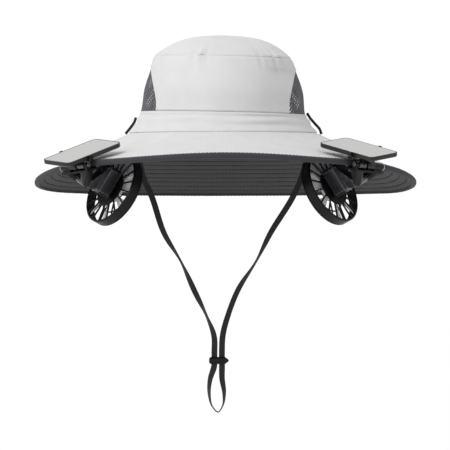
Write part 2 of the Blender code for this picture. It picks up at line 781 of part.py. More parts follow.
def fan_frames(clip):
    """The frames of the fan (x down the housing, z out of the intake side) and of its tilt hinge (x along the axis)."""
    pin = clip.translation
    middle = pin + Vector(FAN_MIDDLE)
    fan = axes_frame(FAN_DOWN, (0, 0, 0), FAN_OUT, middle)
    axis = Vector((fan[0][1], fan[1][1], fan[2][1]))
    out = Vector((fan[0][2], fan[1][2], fan[2][2]))
    hinge = axes_frame(axis, (0, 0, 0), out, pin + Vector(HINGE_MIDDLE))
    return fan, hinge


def lower_arm(name, clip, hinge):
    """The clip's lower lever: knuckles, jaw under the brim and the fork that carries the fan."""
    jaw = hull(block_points(LOWER_JAW, clip), name)
    pad = hull(block_points(LOWER_PAD, clip))
    parts = [pad]
    for start, end, radius in LOWER_KNUCKLES:
        parts.append(rod(radius, (start, end), clip))
        inset = (start + 0.0002, end - 0.0002)
        parts.append(hull(block_points((inset, (-0.0023, 0.0023), (-0.0060, -0.0019)), clip)))
    roots = ((-0.0165, -0.0110), (0.0100, 0.0185))
    forks = ((-HINGE_HALF - GAP - EAR_LENGTH, -HINGE_HALF - GAP), (HINGE_HALF + GAP, HINGE_HALF + GAP + EAR_LENGTH))
    for root, fork in zip(roots, forks, strict=True):
        top = block_points((root, (-0.0025, 0.0060), (-0.0061, -0.0050)), clip)
        parts.append(hull(top + round_points(HINGE_RADIUS, fork, hinge)))
    parts.append(rod(HINGE_PIN, (-HINGE_HALF - 0.002, HINGE_HALF + 0.002), hinge, sides=10))
    made = union(jaw, parts)
    return cut(made, [rod(BORE_RADIUS, (-0.03, 0.03), clip)])


def fan_housing(name, fan, hinge):
    """The motor and battery housing on the fan's back, with its neck and hinge knuckle."""
    body = hull(block_points(HOUSING, fan, HOUSING_CHAMFER), name)
    knuckle = rod(HINGE_RADIUS, (-HINGE_HALF, HINGE_HALF), hinge)
    at = fan.inverted() @ hinge.translation
    base = block_points(((-0.0110, 0.0060), (-0.0062, 0.0062), (0.0190, 0.0235)), fan)
    waist_x = (at.x - 0.0043, at.x + 0.0036)
    waist_y = (at.y - HINGE_HALF + GAP, at.y + HINGE_HALF - GAP)
    waist = block_points((waist_x, waist_y, (at.z - 0.0095, at.z - 0.0072)), fan)
    neck = hull(base + waist)
    plate_x = (waist_x[0] + 0.0003, waist_x[1] - 0.0003)
    plate_y = (waist_y[0] + 0.0004, waist_y[1] - 0.0004)
    plate = hull(block_points((plate_x, plate_y, (at.z - 0.0090, at.z - 0.0005)), fan))
    made = union(body, [neck, plate, knuckle])
    return cut(made, [rod(HINGE_BORE, (-0.02, 0.02), hinge, sides=10)])


def lattice(name, frame, rows, ribs, rib_width, twist, extra, material_name):
    """A round plate cut through between its ribs. Each row is a radius with its top and bottom, and whether the step
    out to the next radius is cut. extra is how many columns of points go between two ribs."""
    per = 2 + extra
    columns = ribs * per
    rim = rows[-1][0]

    def ring(radius, height):
        points = []
        for rib in range(ribs):
            start = 360.0 * rib / ribs + twist * (1 - radius / rim)
            half = math.degrees(rib_width / 2 / radius)
            gap = 360.0 / ribs - 2 * half
            angles = [start - half, start + half]
            angles += [start + half + gap * (k + 1) / (extra + 1) for k in range(extra)]
            for angle in angles:
                turn = math.radians(angle)
                points.append(frame @ Vector((radius * math.cos(turn), radius * math.sin(turn), height)))
        return points

    points, faces = [], []
    for radius, top, bottom, _ in rows:
        points += ring(radius, top) + ring(radius, bottom)
    for i, row in enumerate(rows[:-1]):
        for j in range(columns):
            if row[3] and j % per != 0:
                continue
            a, b = 2 * i * columns + j, 2 * i * columns + (j + 1) % columns
            step = 2 * columns
            faces.append((a, b, b + step, a + step))
            faces.append((a + step + columns, b + step + columns, b + columns, a + columns))
        if row[3]:
            for j in range(columns):
                a, b = 2 * i * columns + j, 2 * i * columns + (j + 1) % columns
                step = 2 * columns
                if j % per != 0:
                    faces.append((a, b, b + columns, a + columns))
                    faces.append((a + step, b + step, b + step + columns, a + step + columns))
                else:
                    faces.append((a, a + step, a + step + columns, a + columns))
                    faces.append((b, b + step, b + step + columns, b + columns))
    last = 2 * (len(rows) - 1) * columns
    for j in range(columns):
        faces.append((last + j, last + (j + 1) % columns, last + columns + (j + 1) % columns, last + columns + j))
    for start, height in ((0, rows[0][1]), (columns, rows[0][2])):
        points.append(frame @ Vector((0, 0, height)))
        for j in range(columns):
            faces.append((start + j, start + (j + 1) % columns, len(points) - 1))
    return solid(name, points, faces, material_name)


def blade(fan, start):
    """One pitched blade, thin, from inside the hub to its tip."""
    outer, inner = [], []
    for radius in (ROTOR_HUB_RADIUS - 0.002, BLADE_TIP):
        upper, lower = [], []
        for share in (0.0, 0.5, 1.0):
            sweep = start + BLADE_TURN * share + 10.0 * (radius / BLADE_TIP)
            turn = math.radians(sweep)
            height = 0.0040 - BLADE_DROP * (1 - share)
            upper.append(fan @ Vector((radius * math.cos(turn), radius * math.sin(turn), height)))
            lower.append(
                fan @ Vector((radius * math.cos(turn), radius * math.sin(turn), height - BLADE_THICKNESS))
            )
        outer.append(upper)
        inner.append(lower)
    return sheet_solid("blade", outer, inner, False, "blade_plastic")


def fan_rotor(name, fan):
    """The fan's hub and blades."""
    turned = fan @ Matrix.Rotation(math.radians(-90), 4, "Y")
    hub = rod(ROTOR_HUB_RADIUS, ROTOR_HUB, turned, name, "blade_plastic", 16)
    blades = [blade(fan, 360.0 * k / ROTOR_BLADES) for k in range(ROTOR_BLADES)]
    return union(hub, blades)


def fan_unit(side, angle, panel_middle, panel_long, panel_short):
    """One clip-on solar fan, built as on the left and mirrored for the right."""
    clip = clip_frame(side, angle)
    across = Vector(panel_short)
    up = Vector(panel_long).cross(across)
    panel = axes_frame(panel_long, panel_short, up, panel_middle)
    fan, hinge = fan_frames(clip)
    made = [
        solar_panel(side + "_solar_panel", panel),
        panel_frame(side + "_panel_frame", panel),
        upper_jaw(side + "_clip_upper_jaw", clip, panel),
        clip_pin(side + "_clip_pin", clip),
        clip_spring(side + "_clip_spring", clip),
        lower_arm(side + "_clip_lower_arm", clip, hinge),
        fan_housing(side + "_fan_housing", fan, hinge),
        lattice(side + "_fan_cage", fan, CAGE_ROWS, CAGE_RIBS, CAGE_RIB_WIDTH, CAGE_TWIST, 0, "black_plastic"),
        lattice(
            side + "_fan_grille", fan, GRILLE_ROWS, GRILLE_RIBS, GRILLE_RIB_WIDTH, GRILLE_TWIST, 1, "black_plastic"
        ),
        fan_rotor(side + "_fan_rotor", fan),
    ]
    if side == "right":
        mirror(made)
    return made


def set_origin(thing, point):
    """Moves an object's origin without moving its shape."""
    thing.data.transform(Matrix.Translation(-Vector(point)))
    thing.location = point


def finish():
    """Smooth shading with sharp edges, on every piece."""
    for thing in bpy.data.objects:
        if thing.type == "MESH":
            thing.data.shade_smooth()
            thing.data.set_sharp_from_angle(angle=math.radians(35))


def main():
    clear_scene()
    crown_top()
    wall_panel("crown_front", 0.0)
    wall_panel("crown_back", 180.0)
    mesh_panel("mesh_left", -90.0)
    mesh_panel("mesh_right", 90.0)
    hat_band()
    brim_ply("brim_top", 0.0, "hat_cloth")
    brim_ply("brim_underside", PLY + PLY_GAP, "under_cloth")
    brim_binding()
    side_strap("side_strap_left", LEFT_STRAP_ROWS, -1.0)
    side_strap("side_strap_right", RIGHT_STRAP_ROWS, 1.0)
    chin_strap()
    strap_slider()
    for row in UNIT_ROWS:
        made = {thing.name.split("_", 1)[1]: thing for thing in fan_unit(*row)}
        clip = clip_frame(row[0], row[1])
        fan, hinge = fan_frames(clip)
        sign = -1.0 if row[0] == "right" else 1.0
        for names, frame in (
            (("solar_panel", "panel_frame", "clip_upper_jaw"), clip),
            (("fan_housing", "fan_cage", "fan_grille"), hinge),
            (("fan_rotor",), fan),
        ):
            point = frame.translation.copy()
            point.x *= sign
            for name in names:
                set_origin(made[name], point)
    finish()


main()
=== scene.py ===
import math

import bmesh
import bpy
import numpy as np
from mathutils import Matrix, Vector, noise
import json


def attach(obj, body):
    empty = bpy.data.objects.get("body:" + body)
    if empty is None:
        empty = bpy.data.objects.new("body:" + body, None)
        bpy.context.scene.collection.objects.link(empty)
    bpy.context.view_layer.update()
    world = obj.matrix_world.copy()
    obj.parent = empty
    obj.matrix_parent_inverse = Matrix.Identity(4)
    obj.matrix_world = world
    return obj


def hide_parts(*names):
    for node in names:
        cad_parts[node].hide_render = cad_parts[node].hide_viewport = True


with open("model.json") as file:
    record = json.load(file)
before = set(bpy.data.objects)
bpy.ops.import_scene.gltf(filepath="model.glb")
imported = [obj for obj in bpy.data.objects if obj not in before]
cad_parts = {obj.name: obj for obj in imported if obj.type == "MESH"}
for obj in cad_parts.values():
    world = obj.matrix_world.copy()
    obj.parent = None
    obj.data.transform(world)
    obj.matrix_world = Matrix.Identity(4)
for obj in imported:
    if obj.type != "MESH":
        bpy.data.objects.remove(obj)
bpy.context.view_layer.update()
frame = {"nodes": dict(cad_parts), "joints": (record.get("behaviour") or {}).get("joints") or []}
nodes = frame["nodes"]
joints = {j["name"]: j for j in frame["joints"]}

# Camera, from the photograph: one pixel is one millimetre at the head opening.
CAMERA_PLACE = (0.002, -3.5, -0.050)
CAMERA_LENS = 280.0
CAMERA_SENSOR = 36.0
CAMERA_SHIFT = -42.0 / 450.0
FLOOR_HEIGHT = -0.60
FLOOR_HALF = 3.5
KEY_PLACE = (-1.7, -1.6, 2.3)
KEY_SIZE = 1.1
KEY_POWER = 41.0
# The sky's brightness is the product of these. Columns: axis, from, to, brightness at each.
SKY_ROWS = (
    ("Z", -0.60, -0.08, 0.28, 1.03),
    ("Y", 0.80, 0.97, 0.62, 1.00),
    ("X", -1.00, 1.00, 1.14, 0.86),
    ("Z", -1.00, 1.00, 0.70, 1.30),
)

# Crown. Columns: height, half width, half depth.
CROWN_ROWS = (
    (0.0000, 0.0945, 0.1120),
    (0.0080, 0.0882, 0.1060),
    (0.0150, 0.0846, 0.1022),
    (0.0220, 0.0828, 0.1000),
    (0.0450, 0.0798, 0.0962),
    (0.0640, 0.0735, 0.0890),
    (0.0770, 0.0690, 0.0835),
)
CLOTH = 0.0016
BAND_TOP = 0.0220
CROWN_SEAM = 0.0770
DOME_RISE = 0.0200
DOME_POWER = 2.9
DOME_REACH = 0.075  # from the seam to the middle, for the gathers
LEAN_START = 0.0135
LEAN_LOW = 0.00175
LEAN_FRONT = 0.00075
LEAN_RIGHT = 0.00175
FOLD_DEPTH = 0.0011
# Where the top seam gathers most. Columns: angle from the front, half width, strength.
GATHER_ROWS = ((-21.0, 8.0, 4.6), (48.0, 16.0, 3.8), (150.0, 14.0, 2.4))
MESH_TOP = 0.0660
MESH_HALF_ANGLE = 36.5
MESH_POWER = 2.0
NET_PITCH = 0.0040
NET_BAR = 0.33  # share of a cell that its threads take
NET_DEPTHS = (0.0008, 0.0013)
NET_HEM = 1.4  # degrees that the net reaches under the cloth
NET_MIDDLE = 0.0400
ARCH_SEAM_AWAY = 0.0026

# Brim. Columns: angle from the front, height of the edge below the seam.
BRIM_EDGE_ROWS = (
    (0.0, -0.0223),
    (30.0, -0.0263),
    (45.0, -0.0293),
    (60.0, -0.0348),
    (75.0, -0.0420),
    (90.0, -0.0488),
    (110.0, -0.0546),
    (130.0, -0.0568),
    (180.0, -0.0588),
)
BRIM_HALF_WIDTH = 0.1905
BRIM_HALF_DEPTH = 0.2030
BRIM_SHIFT_X = 0.0025
BRIM_SHIFT_Y = -0.0030
BRIM_INNER_X = 0.0925
BRIM_INNER_Y = 0.1100
BRIM_POWER = 1.05
PLY = 0.0014
PLY_GAP = 0.0004
GAP = 0.0003
SAG_DEPTH = 0.0028
SAG_ANGLE = 40.0
SAG_HALF_ANGLE = 24.0
BINDING_DEPTH = 0.0030
BRIM_STITCH_ROWS = 14

# Side straps. Columns: distance out from the middle, height.
LEFT_STRAP_ROWS = ((0.0870, 0.0155), (0.0886, 0.0110), (0.0921, 0.0058), (0.0975, -0.0008))
RIGHT_STRAP_ROWS = (
    (0.0840, 0.0200),
    (0.0871, 0.0150),
    (0.0922, 0.0090),
    (0.0965, 0.0040),
    (0.0985, -0.0012),
)
SIDE_STRAP_WIDTH = 0.0120
SIDE_STRAP_THICKNESS = 0.0026

# Chin strap. Columns: x, y, z, turn of the tape from facing the front.
CHIN_STRAP_ROWS = (
    (-0.0834, 0.0020, 0.0105, 90),
    (-0.0868, 0.0020, 0.0010, 90),
    (-0.0866, 0.0020, -0.0110, 76),
    (-0.0835, 0.0015, -0.0270, 40),
    (-0.0788, 0.0010, -0.0470, 8),
    (-0.0723, 0.0005, -0.0610, 0),
    (-0.0585, 0.0000, -0.1010, 24),
    (-0.0424, 0.0000, -0.1280, 74),
    (-0.0280, 0.0000, -0.1590, 20),
    (-0.0164, 0.0000, -0.1830, 70),
    (-0.0088, 0.0000, -0.2040, 20),
    (-0.0086, 0.0000, -0.2200, 0),
    (-0.0088, 0.0000, -0.2330, 0),
    (-0.0128, 0.0000, -0.2460, 40),
    (-0.0138, 0.0000, -0.2610, 66),
    (-0.0104, 0.0000, -0.2740, 84),
    (-0.0050, 0.0000, -0.2792, 90),
    (-0.0004, 0.0000, -0.2730, 84),
    (0.0012, 0.0000, -0.2610, 60),
    (-0.0010, 0.0000, -0.2450, 20),
    (-0.0010, 0.0000, -0.2330, 0),
    (-0.0011, 0.0000, -0.2200, 0),
    (-0.0003, 0.0000, -0.2030, 10),
    (0.0058, 0.0000, -0.1800, 24),
    (0.0150, 0.0000, -0.1570, 30),
    (0.0333, 0.0000, -0.1280, 74),
    (0.0470, 0.0000, -0.1010, 24),
    (0.0708, 0.0005, -0.0620, 0),
    (0.0777, 0.0010, -0.0470, -8),
    (0.0832, 0.0015, -0.0270, -40),
    (0.0866, 0.0020, -0.0110, -76),
    (0.0868, 0.0020, 0.0010, -90),
    (0.0834, 0.0020, 0.0105, -90),
)
STRAP_WIDTH = 0.0060
STRAP_THICKNESS = 0.0012
STRAP_SECTIONS = 220
# Half of a tape's section, as shares of its half width and its half thickness.
TAPE_HALF = ((-1.0, 0.0), (-0.93, -0.8), (-0.5, -1.0), (0.0, -1.0), (0.5, -1.0), (0.93, -0.8))

# Fans, as in the solids. Columns of the plates: radius, top, bottom, whether the step outwards is cut.
FAN_DOWN = (-0.510, 0.000, -0.860)
CAGE_ROWS = (
    (0.0185, 0.0060, 0.0044, True),
    (0.0341, 0.0060, 0.0044, False),
    (0.0346, 0.0057, -0.0030, False),
    (0.0358, 0.0048, -0.0030, False),
)
GRILLE_ROWS = (
    (0.0100, -0.0033, -0.0046, True),
    (0.0205, -0.0033, -0.0046, False),
    (0.0218, -0.0033, -0.0046, True),
    (0.0341, -0.0033, -0.0046, False),
    (0.0358, -0.0033, -0.0046, False),
)
# Columns: name, rows, ribs, their width, twist, points on each ring between two ribs.
LATTICES = (
    ("cage", CAGE_ROWS, 18, 0.0013, 8.0, 4),
    ("grille", GRILLE_ROWS, 10, 0.0012, -24.0, 7),
)
ROTOR_HUB_RADIUS = 0.0105
ROTOR_HUB = (-0.0030, 0.0041)
ROTOR_BLADES = 7
BLADE_TIP = 0.0332
BLADE_THICKNESS = 0.0011
BLADE_TURN = 25.0
BLADE_DROP = 0.0058
BLADE_ROOT = 0.0095
BLADE_TOP = 0.0040
BLADE_DISH = 0.0003
BLADE_SWEEP = 10.0
BLADE_GRID = (9, 13)  # points out along a blade and across it
ROUND_SIDES = 48
SPRING_REACH = (0.0058, 0.0162)
SPRING_RADIUS = 0.0030
SPRING_WIRE = 0.0006
SPRING_TURNS = 5
SPRING_STEPS = 20  # in each turn
SPRING_SIDES = 8
WASHER_PLACE = -0.0182  # along the clip's pin
WASHER_BORE = 0.0019
WASHER_RADIUS = 0.0034
WASHER_HALF = 0.0006
WASHER_EDGE = 0.0002
# The lines between a panel's cells. Columns: direction, pitch, half width.
CELL_ROWS = (("X", 0.0112, 0.0003), ("Y", 0.0163, 0.0005))


def linear(*levels):
    """A colour from 0 to 255 as the eye sees it, in the renderer's own values."""
    out = []
    for level in levels:
        v = level / 255.0
        out.append(v / 12.92 if v <= 0.04045 else ((v + 0.055) / 1.055) ** 2.4)
    return (*out, 1.0)


def placed(name, data):
    """A new object in the scene."""
    made = bpy.data.objects.new(name, data)
    bpy.context.scene.collection.objects.link(made)
    return made


def fill(node, **values):
    """Sets some inputs of a node."""
    for key, value in values.items():
        node.inputs[key.replace("_", " ")].default_value = value


# Camera, light and floor


def make_camera():
    """The camera at the photograph's angle."""
    data = bpy.data.cameras.new("camera")
    data.lens = CAMERA_LENS
    data.sensor_width = CAMERA_SENSOR
    data.shift_y = CAMERA_SHIFT
    data.clip_start = 0.1
    data.clip_end = 50.0
    camera = placed("camera", data)
    camera.location = CAMERA_PLACE
    camera.rotation_euler = (math.radians(90), 0, 0)
    bpy.context.scene.camera = camera


def make_world():
    """Soft white light from all round, most from the left and above and least from below."""
    world = bpy.data.worlds.new("studio")
    bpy.context.scene.world = world
    world.use_nodes = True
    tree = world.node_tree
    background = tree.nodes["Background"]
    split = tree.nodes.new("ShaderNodeSeparateXYZ")
    tree.links.new(tree.nodes.new("ShaderNodeTexCoord").outputs["Generated"], split.inputs[0])
    strength = None
    for axis, low, high, start, end in SKY_ROWS:
        ramp = tree.nodes.new("ShaderNodeMapRange")
        fill(ramp, From_Min=low, From_Max=high, To_Min=start, To_Max=end)
        tree.links.new(split.outputs[axis], ramp.inputs["Value"])
        product = tree.nodes.new("ShaderNodeMath")
        product.operation = "MULTIPLY"
        product.inputs[0].default_value = 1.0
        if strength is not None:
            tree.links.new(strength, product.inputs[0])
        tree.links.new(ramp.outputs["Result"], product.inputs[1])
        strength = product.outputs[0]
    tree.links.new(strength, background.inputs["Strength"])
    fill(background, Color=(1.0, 1.0, 1.0, 1.0))


def make_key_light():
    """A square soft light from the front, the left and above."""
    data = bpy.data.lights.new("key", "AREA")
    data.size = KEY_SIZE
    data.energy = KEY_POWER
    light = placed("key", data)
    light.location = KEY_PLACE
    light.rotation_euler = (-Vector(KEY_PLACE)).to_track_quat("-Z", "Y").to_euler()


def make_floor():
    """A plain pale floor, well under the hat, which is held up as worn."""
    mesh = bpy.data.meshes.new("floor")
    corners = ((-1, -1), (1, -1), (1, 1), (-1, 1))
    points = [(x * FLOOR_HALF, y * FLOOR_HALF, FLOOR_HEIGHT) for x, y in corners]
    mesh.from_pydata(points, [], [(0, 1, 2, 3)])
    floor = placed("floor", mesh)
    look = bpy.data.materials.new("floor")
    look.use_nodes = True
    fill(look.node_tree.nodes["Principled BSDF"], Base_Color=(0.86, 0.86, 0.86, 1.0), Roughness=0.9)
    mesh.materials.append(look)


# Materials


class Look:
    """A material with a Principled shader and a few helpers for its nodes."""

    def __init__(self, name, colour, roughness, metallic=0.0, specular=0.5):
        self.material = bpy.data.materials.new(name)
        self.material.use_nodes = True
        self.tree = self.material.node_tree
        self.shader = self.tree.nodes["Principled BSDF"]
        fill(self.shader, Base_Color=colour, Roughness=roughness)
        fill(self.shader, Metallic=metallic, Specular_IOR_Level=specular)
        self.link = self.tree.links.new
        self.height = None

    def node(self, kind, **values):
        """A new node with some inputs set."""
        made = self.tree.nodes.new(kind)
        fill(made, **values)
        return made

    def math(self, operation, a, b=0.0):
        """The output of a maths node. a and b are outputs or numbers."""
        made = self.tree.nodes.new("ShaderNodeMath")
        made.operation = operation
        for socket, value in zip(made.inputs, (a, b)):
            if isinstance(value, (int, float)):
                socket.default_value = value
            else:
                self.link(value, socket)
        return made.outputs[0]

    def noise(self, scale, detail=3.0):
        """A noise value at a scale per metre, on the piece itself."""
        made = self.node("ShaderNodeTexNoise", Scale=scale, Detail=detail)
        place = self.tree.nodes.new("ShaderNodeTexCoord").outputs["Object"]
        self.link(place, made.inputs["Vector"])
        return made.outputs["Fac"]

    def measures(self):
        """The piece's own measures in metres, across and along, as the outputs X and Y."""
        split = self.tree.nodes.new("ShaderNodeSeparateXYZ")
        self.link(self.tree.nodes.new("ShaderNodeTexCoord").outputs["UV"], split.inputs[0])
        return split.outputs

    def threads(self, pitch):
        """A woven pattern of warp and weft, from -1 to 1."""
        measures = self.measures()
        wave = 2 * math.pi / pitch
        across = self.math("SINE", self.math("MULTIPLY", measures["X"], wave))
        along = self.math("SINE", self.math("MULTIPLY", measures["Y"], wave))
        return self.math("MULTIPLY", across, along)

    def spread(self, value, **ends):
        """A value stretched between new ends."""
        made = self.node("ShaderNodeMapRange", **ends)
        self.link(value, made.inputs["Value"])
        return made.outputs["Result"]

    def tint(self, value, low, high, dark, light):
        """Mixes two colours by a value between low and high, as the base colour."""
        mix = self.tree.nodes.new("ShaderNodeMix")
        mix.data_type = "RGBA"
        self.link(self.spread(value, From_Min=low, From_Max=high), mix.inputs["Factor"])
        mix.inputs[6].default_value = dark
        mix.inputs[7].default_value = light
        self.link(mix.outputs[2], self.shader.inputs["Base Color"])

    def rough(self, value, low, high):
        """Roughness that varies with a value from 0 to 1."""
        self.link(self.spread(value, To_Min=low, To_Max=high), self.shader.inputs["Roughness"])

    def raise_by(self, value, depth):
        """Adds a height in metres to the bump."""
        part = self.math("MULTIPLY", value, depth)
        self.height = part if self.height is None else self.math("ADD", self.height, part)

    def done(self):
        """Joins the bump and gives back the material."""
        if self.height is not None:
            bump = self.node("ShaderNodeBump", Strength=1.0, Distance=1.0)
            self.link(self.height, bump.inputs["Height"])
            self.link(bump.outputs["Normal"], self.shader.inputs["Normal"])
        return self.material


def scaled(colour, by):
    """A colour made lighter or darker."""
    return (*(min(1.0, c * by) for c in colour[:3]), 1.0)


def cloth(name, colour, pitch, depth, spread=0.05, sheen=0.15):
    """A woven cloth: threads, a little unevenness, and a soft sheen."""
    look = Look(name, colour, 0.82, specular=0.25)
    fill(look.shader, Sheen_Weight=sheen, Sheen_Roughness=0.5)
    weave = look.threads(pitch)
    cloudy = look.noise(55.0, 4.0)
    fibres = look.noise(2600.0, 2.0)
    uneven = look.math("ADD", cloudy, look.math("MULTIPLY", fibres, 0.35))
    value = look.math("ADD", look.math("MULTIPLY", weave, 0.22), uneven)
    look.tint(value, 0.25, 1.1, scaled(colour, 1 - spread), scaled(colour, 1 + spread))
    look.raise_by(weave, depth)
    look.raise_by(fibres, depth * 0.8)
    look.raise_by(look.noise(160.0, 3.0), 0.00012)
    return look.done()


def plastic(name, colour, rough_low, rough_high, coat=0.0, specular=0.4):
    """A moulded plastic: gloss that varies a little, and faint grain and flow."""
    look = Look(name, colour, rough_low, specular=specular)
    cloudy = look.noise(70.0, 4.0)
    look.rough(cloudy, rough_low, rough_high)
    look.tint(look.noise(120.0, 3.0), 0.3, 0.7, scaled(colour, 0.85), scaled(colour, 1.2))
    look.raise_by(look.noise(1500.0, 2.0), 0.00001)
    look.raise_by(look.noise(60.0, 2.0), 0.00004)
    fill(look.shader, Coat_Weight=coat, Coat_Roughness=0.12)
    return look.done()


def solar_face():
    """The panel's face, with its cells showing faintly under the clear layer. Its pale grey stands
    partly for the panel's own colour and partly for a painted reflection of the bright surroundings in
    its glossy surface.
    """
    # Painted reflection: this pale grey base colour stands in part for the bright surroundings mirrored
    # by the glossy face.
    colour = linear(180, 180, 179)
    look = Look("panel_face", colour, 0.3, specular=0.3)
    measures = look.measures()
    lines = []
    for output, pitch, width in CELL_ROWS:
        part = look.math("PINGPONG", look.math("ADD", measures[output], pitch * 40), pitch / 2)
        lines.append(look.math("LESS_THAN", part, width))
    grid = look.math("MAXIMUM", lines[0], lines[1])
    cloudy = look.noise(90.0, 3.0)
    value = look.math("SUBTRACT", look.math("MULTIPLY", cloudy, 0.15), look.math("MULTIPLY", grid, 0.2))
    look.tint(value, -0.35, 0.15, scaled(colour, 0.93), scaled(colour, 1.01))
    look.rough(cloudy, 0.2, 0.34)
    fill(look.shader, Coat_Weight=0.15, Coat_Roughness=0.15)
    return look.done()


def metal(name, colour, low, high):
    """Bright wire or pin."""
    look = Look(name, colour, low, metallic=1.0)
    look.rough(look.noise(400.0, 3.0), low, high)
    look.tint(look.noise(200.0, 2.0), 0.3, 0.7, scaled(colour, 0.85), scaled(colour, 1.1))
    look.raise_by(look.noise(900.0, 2.0), 0.00001)
    return look.done()


def make_looks():
    """Every material by name."""
    return {
        "hat": cloth("hat_cloth", linear(223, 222, 223), 0.00055, 0.000035),
        "hat_thread": cloth("hat_thread", linear(228, 228, 229), 0.0005, 0.00003),
        # The crown's cloth is dark on its inner side; this darkens the inside of the crown that is seen
        # through the net holes.
        "dark_inner_side": cloth("inner_cloth", linear(44, 44, 47), 0.00055, 0.00003, 0.08, 0.0),
        "net": cloth("mesh_cloth", linear(98, 97, 104), 0.0006, 0.00003, 0.12),
        "under": cloth("under_cloth", linear(68, 68, 69), 0.00055, 0.00003, 0.10, 0.05),
        "under_thread": cloth("under_thread", linear(34, 34, 36), 0.0005, 0.00003, 0.1, 0.0),
        "edge_thread": cloth("edge_thread", linear(84, 84, 88), 0.0005, 0.00003, 0.1, 0.05),
        "binding": cloth("binding_cloth", linear(64, 63, 69), 0.0007, 0.00005, 0.10, 0.06),
        "tape": cloth("strap_tape", linear(47, 47, 50), 0.0011, 0.00012, 0.16, 0.1),
        "slider": plastic("slider_plastic", linear(20, 20, 22), 0.3, 0.5, specular=0.25),
        "black": plastic("black_plastic", linear(20, 20, 22), 0.16, 0.28, specular=0.5),
        # Painted light: the housing is the same black plastic as the other parts, given a lighter colour
        # to make up for the little light that falls on its faces.
        "housing": plastic("housing_plastic", linear(37, 37, 41), 0.18, 0.3, specular=0.5),
        # Painted highlight: a pale grey for the light that the housing's rounded edges catch; the
        # plastic itself is dark.
        "painted_edge_highlight": plastic("painted_edge_highlight", linear(140, 140, 146), 0.18, 0.3, specular=0.5),
        "arm": plastic("arm_plastic", linear(20, 20, 22), 0.25, 0.38, specular=0.3),
        "matt": plastic("matt_plastic", linear(17, 17, 19), 0.3, 0.42, specular=0.22),
        "face": solar_face(),
        "steel": metal("spring_steel", linear(128, 128, 131), 0.22, 0.4),
        "bright": metal("bright_steel", linear(190, 190, 192), 0.2, 0.35),
        "blade": plastic("blade_plastic", linear(238, 240, 243), 0.2, 0.36, coat=0.2),
    }


# Mesh helpers


def change(mesh, step):
    """Runs one step of editing on a mesh."""
    work = bmesh.new()
    work.from_mesh(mesh)
    step(work)
    work.to_mesh(mesh)
    work.free()


def linked(name, points, faces, look, uv=None, smooth=40.0):
    """A mesh object, its faces looking outwards. uv holds a pair in metres for each point."""
    mesh = bpy.data.meshes.new(name)
    mesh.from_pydata([tuple(p) for p in points], [], faces)
    if uv is not None:
        layer = mesh.uv_layers.new(name="measure")
        where = np.zeros(len(mesh.loops), int)
        mesh.loops.foreach_get("vertex_index", where)
        layer.data.foreach_set("uv", np.array(uv, float)[where].ravel())
    change(mesh, lambda work: bmesh.ops.recalc_face_normals(work, faces=work.faces))
    mesh.materials.append(look)
    mesh.shade_smooth()
    mesh.set_sharp_from_angle(angle=math.radians(smooth))
    return placed(name, mesh)


def keep(thing, body, slot, *replaced):
    """Sets what a piece rides on and hides the solids that it stands for. slot is not used."""
    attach(thing, body)
    if replaced:
        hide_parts(*replaced)
    return thing


def tube_faces(rings, sides, closed=False):
    """The faces between rings of points. closed joins the last ring to the first."""
    faces = []
    for i in range(rings if closed else rings - 1):
        below, above = i * sides, (i + 1) % rings * sides
        for k in range(sides):
            m = (k + 1) % sides
            faces.append((below + k, below + m, above + m, above + k))
    return faces


def shell(name, outer, inner, closed, look, caps=False, inside=None):
    """A wall between two matching grids of points. inside is the look of its inner side."""
    outer, inner = np.array(outer, float), np.array(inner, float)
    rows, columns = outer.shape[:2]
    if closed:
        outer = np.concatenate([outer, outer[:, :1]], axis=1)
        inner = np.concatenate([inner, inner[:, :1]], axis=1)
        columns += 1
    along = run_along(outer, 1)
    along -= along[:, columns // 2 : columns // 2 + 1]
    up = run_along(outer)
    measure = np.stack([along, up], axis=2).reshape(-1, 2)
    points = np.concatenate([outer.reshape(-1, 3), inner.reshape(-1, 3)])
    half = rows * columns
    faces = []
    for i in range(rows - 1):
        for j in range(columns - 1):
            a = i * columns + j
            b, c, d = a + 1, a + columns + 1, a + columns
            faces += [(a, b, c, d), (half + d, half + c, half + b, half + a)]
    for j in range(columns - 1):
        faces.append((j + 1, j, half + j, half + j + 1))
        if not caps:
            end = (rows - 1) * columns + j
            faces.append((end, end + 1, half + end + 1, half + end))
    if not closed:
        for i in range(rows - 1):
            a, d = i * columns, (i + 1) * columns
            faces.append((a, d, half + d, half + a))
            a, d = a + columns - 1, d + columns - 1
            faces.append((d, a, half + a, half + d))
    uv = np.concatenate([measure, measure])
    if caps:
        tips = []
        for part, grid in ((0, outer), (1, inner)):
            tips.append(grid[-1].mean(axis=0))
            tip = len(points) + part
            start = part * half + (rows - 1) * columns
            for j in range(columns - 1):
                face = (start + j, start + j + 1, tip)
                faces.append(face if part == 0 else face[::-1])
        points = np.concatenate([points, np.array(tips)])
        uv = np.concatenate([uv, measure[-1:], measure[-1:]])
    made = linked(name, points, faces, look, uv, 60.0)
    if inside is not None:
        made.data.materials.append(inside)
        for polygon in made.data.polygons:
            polygon.material_index = int(min(polygon.vertices) >= half)
    if closed:
        weld(made)
    return made


def weld(thing):
    """Joins points that lie on each other."""
    change(thing.data, lambda work: bmesh.ops.remove_doubles(work, verts=work.verts, dist=0.00001))


def rounded(thing, width, segments, angle):
    """Rounds the edges that are sharper than an angle."""
    bevel = thing.modifiers.new("bevel", "BEVEL")
    bevel.width = width
    bevel.segments = segments
    bevel.limit_method = "ANGLE"
    bevel.angle_limit = math.radians(angle)
    bevel.harden_normals = True


